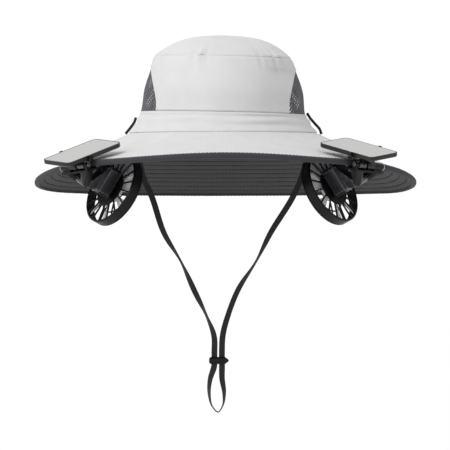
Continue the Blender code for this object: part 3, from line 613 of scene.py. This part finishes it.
def refined(node, body, slot, look, width=0.0003, segments=2):
    """A copy of a solid with its edges rounded, in its place."""
    mesh = nodes[node].data.copy()
    mesh.materials.clear()
    mesh.materials.append(look)
    made = placed(node + "_form", mesh)
    weld(made)
    flat = {"angle_limit": math.radians(1.0)}
    change(mesh, lambda work: bmesh.ops.dissolve_limit(work, verts=work.verts, edges=work.edges, **flat))
    rounded(made, width, segments, 28)
    mesh.shade_smooth()
    mesh.set_sharp_from_angle(angle=math.radians(35))
    return keep(made, body, slot, node)


def hermite(t, step, start, end, start_slope, end_slope):
    """A smooth step between two values with given slopes. t goes from 0 to 1."""
    first = (2 * t**3 - 3 * t**2 + 1) * start + (t**3 - 2 * t**2 + t) * step * start_slope
    second = (3 * t**2 - 2 * t**3) * end + (t**3 - t**2) * step * end_slope
    return first + second


def smooth_at(places, values, slopes, at):
    """The smooth line through some values at one place."""
    i = int(np.clip(np.searchsorted(places, at) - 1, 0, len(places) - 2))
    step = places[i + 1] - places[i]
    t = (at - places[i]) / step
    return hermite(t, step, values[i], values[i + 1], slopes[i], slopes[i + 1])


def smooth_value(rows, column, at):
    """A smooth line through one column of a table, along its first column."""
    places = np.array([row[0] for row in rows], float)
    values = np.array([row[column] for row in rows], float)
    return float(smooth_at(places, values, np.gradient(values, places), at))


def run_along(points, axis=0):
    """How far along a line each of its points is, or along the lines of a grid."""
    steps = np.linalg.norm(np.diff(np.array(points, float), axis=axis), axis=-1)
    return np.insert(np.cumsum(steps, axis=axis), 0, 0.0, axis=axis)


def smooth_path(rows, count):
    """Evenly spaced rows on a smooth line through a table's rows."""
    table = np.array(rows, float)
    along = run_along(table[:, :3])
    slopes = np.gradient(table, along, axis=0)
    return [smooth_at(along, table, slopes, at) for at in np.linspace(0, along[-1], count)]


def heading(path, i):
    """The direction of a path at one of its points."""
    return (path[min(i + 1, len(path) - 1)] - path[max(i - 1, 0)]).normalized()


def round_turns(sides):
    """Evenly spaced turns round a circle."""
    return [2 * math.pi * k / sides for k in range(sides)]


def stitches(name, lines, look, slot, length=0.0024, gap=0.0010, radius=0.00026):
    """Rows of stitches along lines of points."""
    points, faces = [], []
    for line in lines:
        line = np.array(line, float)
        along = run_along(line)
        count = max(1, int(along[-1] / (length + gap)))
        step = along[-1] / count
        for k in range(count):
            ends = []
            for at in (k * step, k * step + length):
                ends.append(Vector([np.interp(at, along, line[:, c]) for c in range(3)]))
            way = (ends[1] - ends[0]).normalized()
            side = way.cross(Vector((0.3, 0.2, 0.93))).normalized()
            lift = side.cross(way)
            first = len(points)
            points += ends
            for share in (0.25, 0.75):
                middle = ends[0].lerp(ends[1], share)
                points += [middle + out * radius for out in (side, lift, -side, -lift)]
            for q in range(4):
                r = (q + 1) % 4
                faces.append((first, first + 2 + r, first + 2 + q))
                faces.append((first + 2 + q, first + 2 + r, first + 6 + r, first + 6 + q))
                faces.append((first + 1, first + 6 + q, first + 6 + r))
    made = linked(name, points, faces, look, smooth=180.0)
    return keep(made, "hat", slot)


# Crown


def fold(angle, height):
    """Soft upright folds in the crown, none at its seams."""
    share = (height - BAND_TOP) / (CROWN_SEAM - BAND_TOP)
    if not 0 < share < 1:
        return 0.0
    turn = math.radians(angle)
    wave = math.sin(5 * turn + 0.7) + 0.6 * math.sin(11 * turn + 2.1)
    return FOLD_DEPTH * 0.6 * wave * math.sin(math.pi * share)


def around(angle, height, scale, seed):
    """Smooth noise round the crown, the same at 0 and 360 degrees."""
    turn = math.radians(angle)
    x, y = math.sin(turn) * scale, -math.cos(turn) * scale
    return noise.noise(Vector((x, y, height * scale * 11.0 + seed)))


def pucker(angle, height, seam, reach, depth, rate):
    """The small gathers that a seam draws in the cloth beside it."""
    away = abs(height - seam)
    near = math.exp(-away / reach)
    strength = 0.35 + 1.6 * max(0.0, around(angle, 0.0, 3.1, seam * 90)) ** 1.2
    if seam == CROWN_SEAM:
        for middle, half, more in GATHER_ROWS:
            turned = (angle - middle + 180.0) % 360.0 - 180.0
            strength += more * math.exp(-((turned / half) ** 2))
    gathers = around(angle, 0.0, rate, 7.0) + 0.7 * around(angle, 0.0, rate * 2.3, 3.0)
    edge = min(1.0, away / 0.0015)
    return depth * near * strength * gathers * (0.25 + 0.75 * edge)


def wall_offset(angle, height):
    """How far the cloth stands out from the plain form of the crown."""
    if height > BAND_TOP:
        out = fold(angle, height)
        out += pucker(angle, height, CROWN_SEAM, 0.0065, 0.0012, 14.0)
        out += pucker(angle, height, BAND_TOP, 0.0045, 0.0007, 11.0)
        out += 0.0006 * around(angle, height, 2.3, 1.0)
    else:
        out = pucker(angle, height, BAND_TOP, 0.004, 0.0006, 11.0)
        out += pucker(angle, height, 0.0, 0.0035, 0.0006, 9.0)
        middle = math.sin(math.pi * min(1.0, max(0.0, height / BAND_TOP)))
        tilt = 2.4 * around(angle, 0.0, 1.3, 5.0)
        wave = math.sin(height * 620.0 + tilt * 2.0 + 0.4)
        out += 0.0009 * middle * wave * (0.4 + abs(around(angle, 0.0, 1.1, 9.0)) * 2)
    return out


def lean(turn):
    """How much lower the seams lie at an angle, as the worn crown tips to the front and right."""
    return LEAN_LOW + LEAN_FRONT * math.cos(turn) + LEAN_RIGHT * math.sin(turn)


def lean_share(height):
    """How much of that a height takes: none at the brim, all of it from the band's top up."""
    return min(1.0, max(0.0, (height - LEAN_START) / (BAND_TOP - LEAN_START)))


def wall_point(angle, height, inwards=0.0, plain=False):
    """A point of the crown's wall or band."""
    turn = math.radians(angle)
    less = inwards - (fold(angle, height) if plain else wall_offset(angle, height))
    x = (smooth_value(CROWN_ROWS, 1, height) - less) * math.sin(turn)
    y = -(smooth_value(CROWN_ROWS, 2, height) - less) * math.cos(turn)
    return (x, y, height - lean(turn) * lean_share(height))


def arch_angle(height):
    """Half the angle that a mesh panel covers at a height."""
    share = (height - BAND_TOP) / (MESH_TOP - BAND_TOP)
    if share >= 1:
        return 0.0
    return MESH_HALF_ANGLE * (1 - max(share, 0.0) ** MESH_POWER) ** (1 / MESH_POWER)


def seam_roll(away, reach=0.0018, depth=0.0012):
    """How far the cloth turns inwards close to a seam."""
    if away >= reach:
        return 0.0
    return depth * (1 - away / reach) ** 2


def rolled_heights(low, high, count):
    """Heights between two seams, closer together near each."""
    near = [0.0, 0.0004, 0.0008, 0.0013, 0.0018]
    middle = list(np.linspace(low + 0.0026, high - 0.0026, count))
    return [low + n for n in near] + middle + [high - n for n in reversed(near)]


def crown_wall(name, side, look, inside):
    """The front or back of the crown, between the two mesh panels."""
    outer, inner = [], []
    low, high = BAND_TOP + 0.0001, CROWN_SEAM - 0.0001
    fine = [MESH_TOP - d for d in (0.0001, 0.0004, 0.0009, 0.0016)]
    for height in sorted(rolled_heights(low, high, 34) + fine):
        edge = 90.0 - arch_angle(height) - 0.1
        t = np.linspace(-1, 1, 121)
        shares = np.sign(t) * (1 - (1 - np.abs(t)) ** 1.15)
        top = seam_roll(high - height)
        bottom = seam_roll(height - low)
        row_out, row_in = [], []
        for share in shares:
            angle = side + edge * share
            away = math.radians(edge * (1 - abs(share))) * 0.09
            less = max(top, bottom, seam_roll(away, 0.0014, 0.0006))
            row_out.append(wall_point(angle, height, less))
            row_in.append(wall_point(angle, height, CLOTH))
        outer.append(row_out)
        inner.append(row_in)
    return shell(name, outer, inner, False, look, inside=inside)


def band(name, look):
    """The flared band."""
    low, high = 0.0001, BAND_TOP - 0.0001
    angles = np.linspace(0, 360, 240, endpoint=False)
    outer, inner = [], []
    for height in rolled_heights(low, high, 20):
        less = max(seam_roll(high - height), seam_roll(height - low, 0.0012, 0.0005))
        outer.append([wall_point(a, height, less) for a in angles])
        inner.append([wall_point(a, height, CLOTH) for a in angles])
    return shell(name, outer, inner, True, look)


def dome_point(angle, share, inwards=0.0):
    """A point of the crown's top. share is 0 in the middle and 1 at the seam."""
    turn = math.radians(angle)
    x = (CROWN_ROWS[-1][1] - inwards) * share * math.sin(turn)
    y = -(CROWN_ROWS[-1][2] - inwards) * share * math.cos(turn)
    steep = share**3
    z = CROWN_SEAM + 0.0002 + (DOME_RISE - inwards) * (1 - share**DOME_POWER) - lean(turn) * steep
    away = (1 - share) * DOME_REACH
    out = pucker(angle, CROWN_SEAM + away, CROWN_SEAM, 0.007, 0.0011, 14.0)
    out += 0.0007 * noise.noise(Vector((x * 26, y * 26, 4.0))) * min(1.0, away / 0.01)
    out -= seam_roll(away)
    spread = 1 + out * steep / DOME_REACH
    return (x * spread, y * spread, z + out * (1.3 - steep))


def crown_dome(name, look, inside):
    """The domed top."""
    angles = np.linspace(0, 360, 180, endpoint=False)
    shares = [1.0, 0.995, 0.99, 0.984, 0.978, *np.linspace(0.965, 0.05, 30)]
    outer = [[dome_point(a, s) for a in angles] for s in shares]
    inner = [[dome_point(a, s, CLOTH) for a in angles] for s in shares]
    return shell(name, outer, inner, True, look, caps=True, inside=inside)


def net_panel(name, side, look):
    """The net at one side of the crown: six-sided holes cut through."""
    per_degree = math.radians(1.0) * smooth_value(CROWN_ROWS, 2, NET_MIDDLE) * 0.93
    points, faces, uv = [], [], []
    index = {}

    def corner(u, v, depth):
        key = (round(u * 1e6), round(v * 1e6), depth)
        if key not in index:
            index[key] = len(points)
            height = min(max(v, BAND_TOP - 0.0004), MESH_TOP + 0.0004)
            points.append(wall_point(side + u / per_degree, height, NET_DEPTHS[depth], True))
            uv.append((u, v))
        return index[key]

    reach = NET_PITCH / math.sqrt(3)
    rise = NET_PITCH * math.sqrt(3) / 2
    rows = int((MESH_TOP - BAND_TOP) / NET_PITCH) + 3
    columns = int((MESH_HALF_ANGLE + NET_HEM) * per_degree / rise) + 1
    for c in range(-columns, columns + 1):
        for r in range(rows):
            u = c * rise
            v = BAND_TOP + (r - 0.6 + 0.5 * (c % 2)) * NET_PITCH
            edge = (arch_angle(max(v, BAND_TOP)) + NET_HEM) * per_degree
            if abs(u) > edge or v > MESH_TOP:
                continue
            rim, hole = [], []
            for k in range(6):
                turn = math.radians(60 * k)
                du, dv = reach * math.cos(turn), reach * math.sin(turn)
                rim.append((u + du, v + dv))
                hole.append((u + du * (1 - NET_BAR), v + dv * (1 - NET_BAR)))
            for k in range(6):
                m = (k + 1) % 6
                a, b, c2, d = rim[k], rim[m], hole[m], hole[k]
                faces.append(tuple(corner(*p, 0) for p in (a, b, c2, d)))
                faces.append(tuple(corner(*p, 1) for p in (d, c2, b, a)))
                faces.append((corner(*d, 0), corner(*c2, 0), corner(*c2, 1), corner(*d, 1)))
    return linked(name, points, faces, look, uv, 50.0)


def arch_seam(side, sign):
    """The line of stitches beside one edge of a mesh panel."""
    top = MESH_TOP + ARCH_SEAM_AWAY
    line = []
    for t in np.linspace(0, 1, 40):
        height = BAND_TOP + 0.0005 + (top - BAND_TOP) * math.sin(t * math.pi / 2)
        shrunk = BAND_TOP + (height - BAND_TOP) * (MESH_TOP - BAND_TOP) / (top - BAND_TOP)
        edge = 90.0 - arch_angle(shrunk) - 1.9 * min(1.0, arch_angle(shrunk) / 8.0)
        line.append(wall_point(side + sign * edge, height, -0.00005))
    return line


def make_crown(looks):
    """The crown, its band and its seams."""
    outside, inside = looks["hat"], looks["dark_inner_side"]
    keep(crown_wall("crown_front_cloth", 0.0, outside, inside), "hat", "hat_cloth", "crown_front")
    keep(crown_wall("crown_back_cloth", 180.0, outside, inside), "hat", "hat_cloth", "crown_back")
    keep(crown_dome("crown_top_cloth", outside, inside), "hat", "hat_cloth", "crown_top")
    keep(band("hat_band_cloth", outside), "hat", "hat_cloth", "hat_band")
    for side, label in ((-90.0, "left"), (90.0, "right")):
        keep(net_panel(label + "_net", side, looks["net"]), "hat", "mesh_cloth", "mesh_" + label)
    turns = np.linspace(0, 360, 361)
    lines = [
        [wall_point(a, BAND_TOP - 0.0030, -0.00005) for a in turns],
        [dome_point(a, 0.967, 0.0) for a in turns],
    ]
    lines += [arch_seam(side, sign) for side in (0.0, 180.0) for sign in (-1, 1)]
    stitches("crown_stitches", lines, looks["hat_thread"], "hat_cloth")


# Brim


def edge_height(angle):
    """The height of the brim's edge at an angle from the front."""
    away = abs((angle + 180.0) % 360.0 - 180.0)
    mirrored = [(-row[0], row[1]) for row in reversed(BRIM_EDGE_ROWS[1:3])]
    beyond = [(360.0 - row[0], row[1]) for row in reversed(BRIM_EDGE_ROWS[-3:-1])]
    return smooth_value([*mirrored, *BRIM_EDGE_ROWS, *beyond], 1, away)


def outline_point(angle, inwards=0.0):
    """A point of the brim's outline in plan, or that far inside it."""
    turn = math.radians(angle)
    x = BRIM_SHIFT_X + (BRIM_HALF_WIDTH - inwards) * math.sin(turn)
    y = BRIM_SHIFT_Y - (BRIM_HALF_DEPTH - inwards) * math.cos(turn)
    return Vector((x, y, 0.0))


def clip_sag(angle, share):
    """How far the weight of the fan units presses the brim down between its seam and its edge."""
    away = abs((angle + 180.0) % 360.0 - 180.0)
    near = math.exp(-(((away - SAG_ANGLE) / SAG_HALF_ANGLE) ** 2))
    return SAG_DEPTH * near * math.sin(math.pi * share)


def brim_wave(angle, share):
    """Slow unevenness of the quilted brim."""
    return 0.0007 * around(angle, share * 0.03, 2.6, 12.0) * min(1.0, share * 3)


def brim_point(angle, share, down=0.0):
    """A point of the brim's top. share is 0 at the seam and 1 where the binding starts."""
    turn = math.radians(angle)
    start = Vector((BRIM_INNER_X * math.sin(turn), -BRIM_INNER_Y * math.cos(turn), 0.0))
    end = outline_point(angle, BINDING_DEPTH + GAP)
    point = start.lerp(end, share)
    point.z = edge_height(angle) * share**BRIM_POWER - clip_sag(angle, share) - down
    return point


def edge_point(angle, inwards, up):
    """A point by the brim's edge, that far above it."""
    point = outline_point(angle, inwards)
    point.z = edge_height(angle) + up + brim_wave(angle, 1.0)
    return point


def brim_sheet(name, look, down, puff, upper):
    """One ply of the brim, quilted in rings."""
    angles = np.linspace(0, 360, 200, endpoint=False)
    shares = np.linspace(0, 1, BRIM_STITCH_ROWS * 8 + 1)
    up = Vector((0, 0, 1))
    outer, inner = [], []
    for share in shares:
        quilt = abs(math.sin(math.pi * share * BRIM_STITCH_ROWS))
        rise = puff * (quilt**0.6 - 0.5)
        row_out, row_in = [], []
        for angle in angles:
            point = brim_point(angle, share, down)
            point.z += brim_wave(angle, share)
            lift = rise + puff * 0.5 * around(angle, share * 3.0, 16.0, 2.0)
            row_out.append(tuple(point + up * (lift if upper else 0.0)))
            row_in.append(tuple(point - up * (PLY if upper else PLY + lift)))
        outer.append(row_out)
        inner.append(row_in)
    return shell(name, outer, inner, True, look)


def binding(name, look):
    """The folded tape round the brim's edge."""
    angles = np.linspace(0, 360, 400, endpoint=False)
    section = []
    for k in range(15):
        turn = math.radians(90 - 180 * k / 14)
        out = 0.0012 + 0.0021 * math.cos(turn) ** 0.8 if math.cos(turn) > 1e-6 else 0.0012
        section.append((out, -0.0020 + 0.0026 * math.sin(turn)))
    section = [(-0.0020, 0.0007), (0.0002, 0.0008)] + section + [(0.0002, -0.0047), (-0.0020, -0.0046)]
    section += [(-0.0020, -0.0040), (-0.0020, 0.0001)]
    columns = len(section)
    lengths = run_along(section)
    points, uv = [], []
    for i, angle in enumerate(angles):
        for k, (out, up) in enumerate(section):
            ripple = 0.00022 * around(angle, k * 0.002, 60.0, 1.0)
            points.append(edge_point(angle, BINDING_DEPTH + GAP - out, up + ripple))
            uv.append((i * 0.00305, lengths[k]))
    return linked(name, points, tube_faces(len(angles), columns, True), look, uv, 50.0)


def make_brim(looks):
    """The brim's plies, binding and rows of stitching."""
    keep(brim_sheet("brim_top_cloth", looks["hat"], 0.0, 0.00022, True), "hat", "hat_cloth", "brim_top")
    under = brim_sheet("brim_under_cloth", looks["under"], PLY + PLY_GAP, 0.0007, False)
    keep(under, "hat", "under_cloth", "brim_underside")
    keep(binding("brim_edge_tape", looks["binding"]), "hat", "binding_cloth", "brim_binding")
    turns = np.linspace(0, 360, 241)
    below, above = [], []
    for row in range(1, BRIM_STITCH_ROWS):
        share = row / BRIM_STITCH_ROWS
        low = PLY * 2 + PLY_GAP - 0.0001
        below.append([brim_point(a, share, low - brim_wave(a, share)) for a in turns])
        above.append([brim_point(a, share, 0.00005 - brim_wave(a, share)) for a in turns])
    dark = looks["under_thread"]
    stitches("brim_under_stitches", below, dark, "under_cloth", 0.0030, 0.0005, 0.00042)
    stitches("brim_top_stitches", above, looks["hat_thread"], "hat_cloth", radius=0.0002)
    edges = [[edge_point(a, 0.0046, up) for a in turns] for up in (0.0009, -0.0047)]
    stitches("binding_stitches", edges, looks["edge_thread"], "binding_cloth", length=0.0028)


# Straps


def tape(name, path, across, width, thickness, look):
    """A flat woven tape with rounded edges along a path."""
    section = [(a * width / 2, b * thickness / 2) for a, b in TAPE_HALF]
    section += [(-a, -b) for a, b in section]
    columns = len(section)
    points, uv = [], []
    runs = run_along(path)
    for i, middle in enumerate(path):
        along = heading(path, i)
        wide = (across[i] - along * across[i].dot(along)).normalized()
        thick = along.cross(wide)
        for a, b in section:
            points.append(middle + wide * a + thick * b)
            uv.append((a, runs[i]))
    faces = tube_faces(len(path), columns)
    faces += [tuple(reversed(range(columns))), tuple(range(len(points) - columns, len(points)))]
    return linked(name, points, faces, look, uv, 60.0)


def make_chin_strap(looks):
    """The chin strap, one free loop, with its slider."""
    rows = smooth_path(CHIN_STRAP_ROWS, STRAP_SECTIONS)
    path = [Vector(row[:3]) for row in rows]
    across = []
    for i, row in enumerate(rows):
        along = heading(path, i)
        level = Vector((0, 1, 0)).cross(along).normalized()
        turn = math.radians(row[3])
        across.append(level * math.cos(turn) + Vector((0, 1, 0)) * math.sin(turn))
    strap = tape("chin_strap_tape", path, across, STRAP_WIDTH, STRAP_THICKNESS, looks["tape"])
    keep(strap, "hat", "strap_tape", "chin_strap")
    slider = refined("strap_slider", "hat", "slider_plastic", looks["slider"], 0.0005, 3)


def make_side_straps(looks):
    """The short straps at the sides of the band."""
    look = looks["tape"]
    for side, rows, label in ((-1, LEFT_STRAP_ROWS, "left"), (1, RIGHT_STRAP_ROWS, "right")):
        table = [(side * x, 0.0, z) for x, z in rows]
        path = [Vector(row[:3]) for row in smooth_path(table, 26)]
        across = [Vector((0, 1, 0))] * len(path)
        made = tape(label + "_side_tape", path, across, SIDE_STRAP_WIDTH, SIDE_STRAP_THICKNESS, look)
        keep(made, "hat", "strap_tape", "side_strap_" + label)


# Fan units


def frame_at(middle, x, z):
    """A frame in its place, from two of its axes."""
    return Matrix.Translation(middle) @ Matrix((x, z.cross(x), z)).transposed().to_4x4()


def fan_point(place, radius, turn, height):
    """A point round the fan's axis."""
    return place @ Vector((radius * math.cos(turn), radius * math.sin(turn), height))


def fan_frame(side):
    """The fan's middle and axes: x down the housing, z out of the intake side."""
    joint = joints[side + "_rotor_spin"]
    z = Vector(joint["axis"]).normalized()
    down = Vector(FAN_DOWN)
    if side == "right":
        down.x = -down.x
    x = (down - z * down.dot(z)).normalized()
    return frame_at(joint["pos_m"], x, z)


def lattice(name, place, rows, ribs, rib_width, twist, extra, look):
    """A round plate cut through between its ribs, as in the solids but rounder."""
    per = 2 + extra
    columns = ribs * per
    rim = rows[-1][0]

    def ring(radius, height):
        points = []
        for rib in range(ribs):
            start = 360.0 * rib / ribs + twist * (1 - radius / rim)
            half = math.degrees(rib_width / 2 / radius)
            gap = 360.0 / ribs - 2 * half
            angles = [start - half, start + half]
            angles += [start + half + gap * (k + 1) / (extra + 1) for k in range(extra)]
            points += [fan_point(place, radius, math.radians(a), height) for a in angles]
        return points

    points, faces = [], []
    for radius, top, bottom, _ in rows:
        points += ring(radius, top) + ring(radius, bottom)
    step = 2 * columns
    for i, row in enumerate(rows[:-1]):
        for j in range(columns):
            a, b = i * step + j, i * step + (j + 1) % columns
            rib = j % per == 0
            if rib or not row[3]:
                faces.append((a, b, b + step, a + step))
                faces.append((a + step + columns, b + step + columns, b + columns, a + columns))
            if row[3] and not rib:
                faces.append((a, b, b + columns, a + columns))
                faces.append((a + step, b + step, b + step + columns, a + step + columns))
            if row[3] and rib:
                faces.append((a, a + step, a + step + columns, a + columns))
                faces.append((b, b + step, b + step + columns, b + columns))
    last = (len(rows) - 1) * step
    for j in range(columns):
        k = (j + 1) % columns
        faces.append((last + j, last + k, last + columns + k, last + columns + j))
    for start, height in ((0, rows[0][1]), (columns, rows[0][2])):
        points.append(place @ Vector((0, 0, height)))
        for j in range(columns):
            faces.append((start + j, start + (j + 1) % columns, len(points) - 1))
    made = linked(name, points, faces, look, smooth=30.0)
    rounded(made, 0.00022, 2, 35)
    return made


def blade(place, number, hand):
    """The points of one blade, upper side first, in rows from its root to its tip."""
    points = []
    for layer in (0, 1):
        for out in np.linspace(0, 1, BLADE_GRID[0]):
            radius = BLADE_ROOT + (BLADE_TIP - BLADE_ROOT) * out
            tip = max(0.0, (out - 0.75) / 0.25) ** 2
            for share in np.linspace(0, 1, BLADE_GRID[1]):
                narrow = 1 - 0.12 * tip * abs(2 * share - 1)
                sweep = 360.0 * number / ROTOR_BLADES + BLADE_TURN * (0.5 + (share - 0.5) * narrow)
                turn = math.radians((sweep + BLADE_SWEEP * radius / BLADE_TIP) * hand)
                dish = BLADE_DISH * math.sin(math.pi * share)
                height = BLADE_TOP - BLADE_DROP * (1 - share) - dish - layer * BLADE_THICKNESS
                points.append(fan_point(place, radius, turn, height))
    return points


def blade_faces(first):
    """The faces of a blade whose points start at a number."""
    rows, wide = BLADE_GRID
    half = rows * wide
    faces = []
    for i in range(rows - 1):
        for j in range(wide - 1):
            a = first + i * wide + j
            faces.append((a, a + 1, a + wide + 1, a + wide))
            faces.append((half + a + wide, half + a + wide + 1, half + a + 1, half + a))
    for j in range(wide - 1):
        for a in (first + j, first + (rows - 1) * wide + j):
            faces.append((a, a + 1, half + a + 1, half + a))
    for i in range(rows - 1):
        for a in (first + i * wide, first + i * wide + wide - 1):
            faces.append((a, a + wide, half + a + wide, half + a))
    return faces


def rotor(name, place, hand, look):
    """The hub and its pitched, dished blades."""
    low, high = ROTOR_HUB
    wide = ROTOR_HUB_RADIUS
    profile = [(0.0, high), (0.006, high), (wide - 0.0012, high - 0.0002)]
    profile += [(wide, high - 0.0014), (wide, low), (0.0, low)]
    turns = round_turns(ROUND_SIDES)
    points = [fan_point(place, radius, turn, height) for radius, height in profile for turn in turns]
    faces = tube_faces(len(profile), ROUND_SIDES)
    for number in range(ROTOR_BLADES):
        faces += blade_faces(len(points))
        points += blade(place, number, hand)
    return linked(name, points, faces, look, smooth=35.0)


def clip_frame(side):
    """The clip's frame from its joint: x along the pin, z up."""
    joint = joints[side + "_clip_opens"]
    x = Vector(joint["axis"]).normalized()
    if x.y > 0:
        x = -x
    z = Vector((0, 0, 1))
    z = (z - x * z.dot(x)).normalized()
    return frame_at(joint["pos_m"], x, z)


def spring(name, place, hand, look):
    """The torsion spring round the clip's pin."""
    steps = SPRING_STEPS * SPRING_TURNS
    low, high = SPRING_REACH[0] + SPRING_WIRE, SPRING_REACH[1] - SPRING_WIRE
    path = []
    for i in range(steps + 1):
        turn = 2 * math.pi * i / SPRING_STEPS
        y, z = hand * SPRING_RADIUS * math.cos(turn), SPRING_RADIUS * math.sin(turn)
        path.append(place @ Vector((low + (high - low) * i / steps, y, z)))
    points = []
    for i, middle in enumerate(path):
        along = heading(path, i)
        side = along.cross(Vector((0.1, 0.2, 1.0))).normalized()
        lift = side.cross(along)
        for turn in round_turns(SPRING_SIDES):
            points.append(middle + (side * math.cos(turn) + lift * math.sin(turn)) * SPRING_WIRE)
    faces = tube_faces(steps + 1, SPRING_SIDES)
    faces.append(tuple(reversed(range(SPRING_SIDES))))
    faces.append(tuple(range(len(points) - SPRING_SIDES, len(points))))
    return linked(name, points, faces, look)


def washer(name, place, look):
    """The bright washer at the outer end of the clip's pin."""
    wide, narrow, edge = WASHER_RADIUS, WASHER_BORE, WASHER_EDGE
    profile = [(narrow, -WASHER_HALF), (wide - edge, -WASHER_HALF), (wide, edge - WASHER_HALF)]
    profile += [(radius, -along) for radius, along in reversed(profile)]
    points = []
    for radius, along in profile:
        for turn in round_turns(ROUND_SIDES):
            out = (WASHER_PLACE + along, radius * math.cos(turn), radius * math.sin(turn))
            points.append(place @ Vector(out))
    return linked(name, points, tube_faces(len(profile), ROUND_SIDES, True), look)


def solar_panel(side, look):
    """The panel's face, with its own measures for the cells."""
    node = side + "_solar_panel"
    made = refined(node, side + "_panel_lever", "panel_face", look, 0.0003)
    mesh = made.data
    flat = max(mesh.polygons, key=lambda p: p.area)
    edges = [mesh.vertices[a].co - mesh.vertices[b].co for a, b in flat.edge_keys]
    x = max(edges, key=lambda e: e.length).normalized()
    y = flat.normal.cross(x)
    middle = flat.center
    layer = mesh.uv_layers.new(name="measure") if not mesh.uv_layers else mesh.uv_layers[0]
    for loop in mesh.loops:
        place = mesh.vertices[loop.vertex_index].co - middle
        layer.data[loop.index].uv = (place.dot(x), place.dot(y))


def make_fan_unit(side, looks):
    """One clip-on fan with its panel."""
    hand = 1 if side == "left" else -1
    lever, head = side + "_panel_lever", side + "_fan_head"
    black = looks["black"]
    solar_panel(side, looks["face"])
    refined(side + "_panel_frame", lever, "black_plastic", black, 0.0006, 3)
    refined(side + "_clip_upper_jaw", lever, "black_plastic", black, 0.0003)
    refined(side + "_clip_lower_arm", "hat", "black_plastic", looks["arm"], 0.0004)
    housing = refined(side + "_fan_housing", head, "black_plastic", looks["housing"], 0.0006, 3)
    # The housing's rounded edges take the painted highlight colour in place of the light that they would
    # catch.
    housing.data.materials.append(looks["painted_edge_highlight"])
    housing.modifiers["bevel"].material = 1
    refined(side + "_clip_pin", "hat", "spring_steel", looks["steel"], 0.0003)
    clip = clip_frame(side)
    coil = spring(side + "_spring_coil", clip, hand, looks["steel"])
    keep(coil, "hat", "spring_steel", side + "_clip_spring")
    keep(washer(side + "_pin_washer", clip, looks["bright"]), "hat", "spring_steel")
    place = fan_frame(side)
    for part, rows, ribs, width, twist, extra in LATTICES:
        label = f"{side}_{part}_form"
        plate = lattice(label, place, rows, ribs, width, twist * hand, extra, looks["matt"])
        keep(plate, head, "black_plastic", f"{side}_fan_{part}")
    blades = rotor(side + "_rotor_form", place, hand, looks["blade"])
    keep(blades, side + "_rotor", "blade_plastic", side + "_fan_rotor")


def main():
    """Builds the scene."""
    bpy.context.scene.view_settings.view_transform = "Standard"
    make_camera()
    looks = make_looks()
    make_chin_strap(looks)
    make_world()
    make_key_light()
    make_floor()
    make_crown(looks)
    make_brim(looks)
    make_side_straps(looks)
    for side in ("left", "right"):
        make_fan_unit(side, looks)


main()
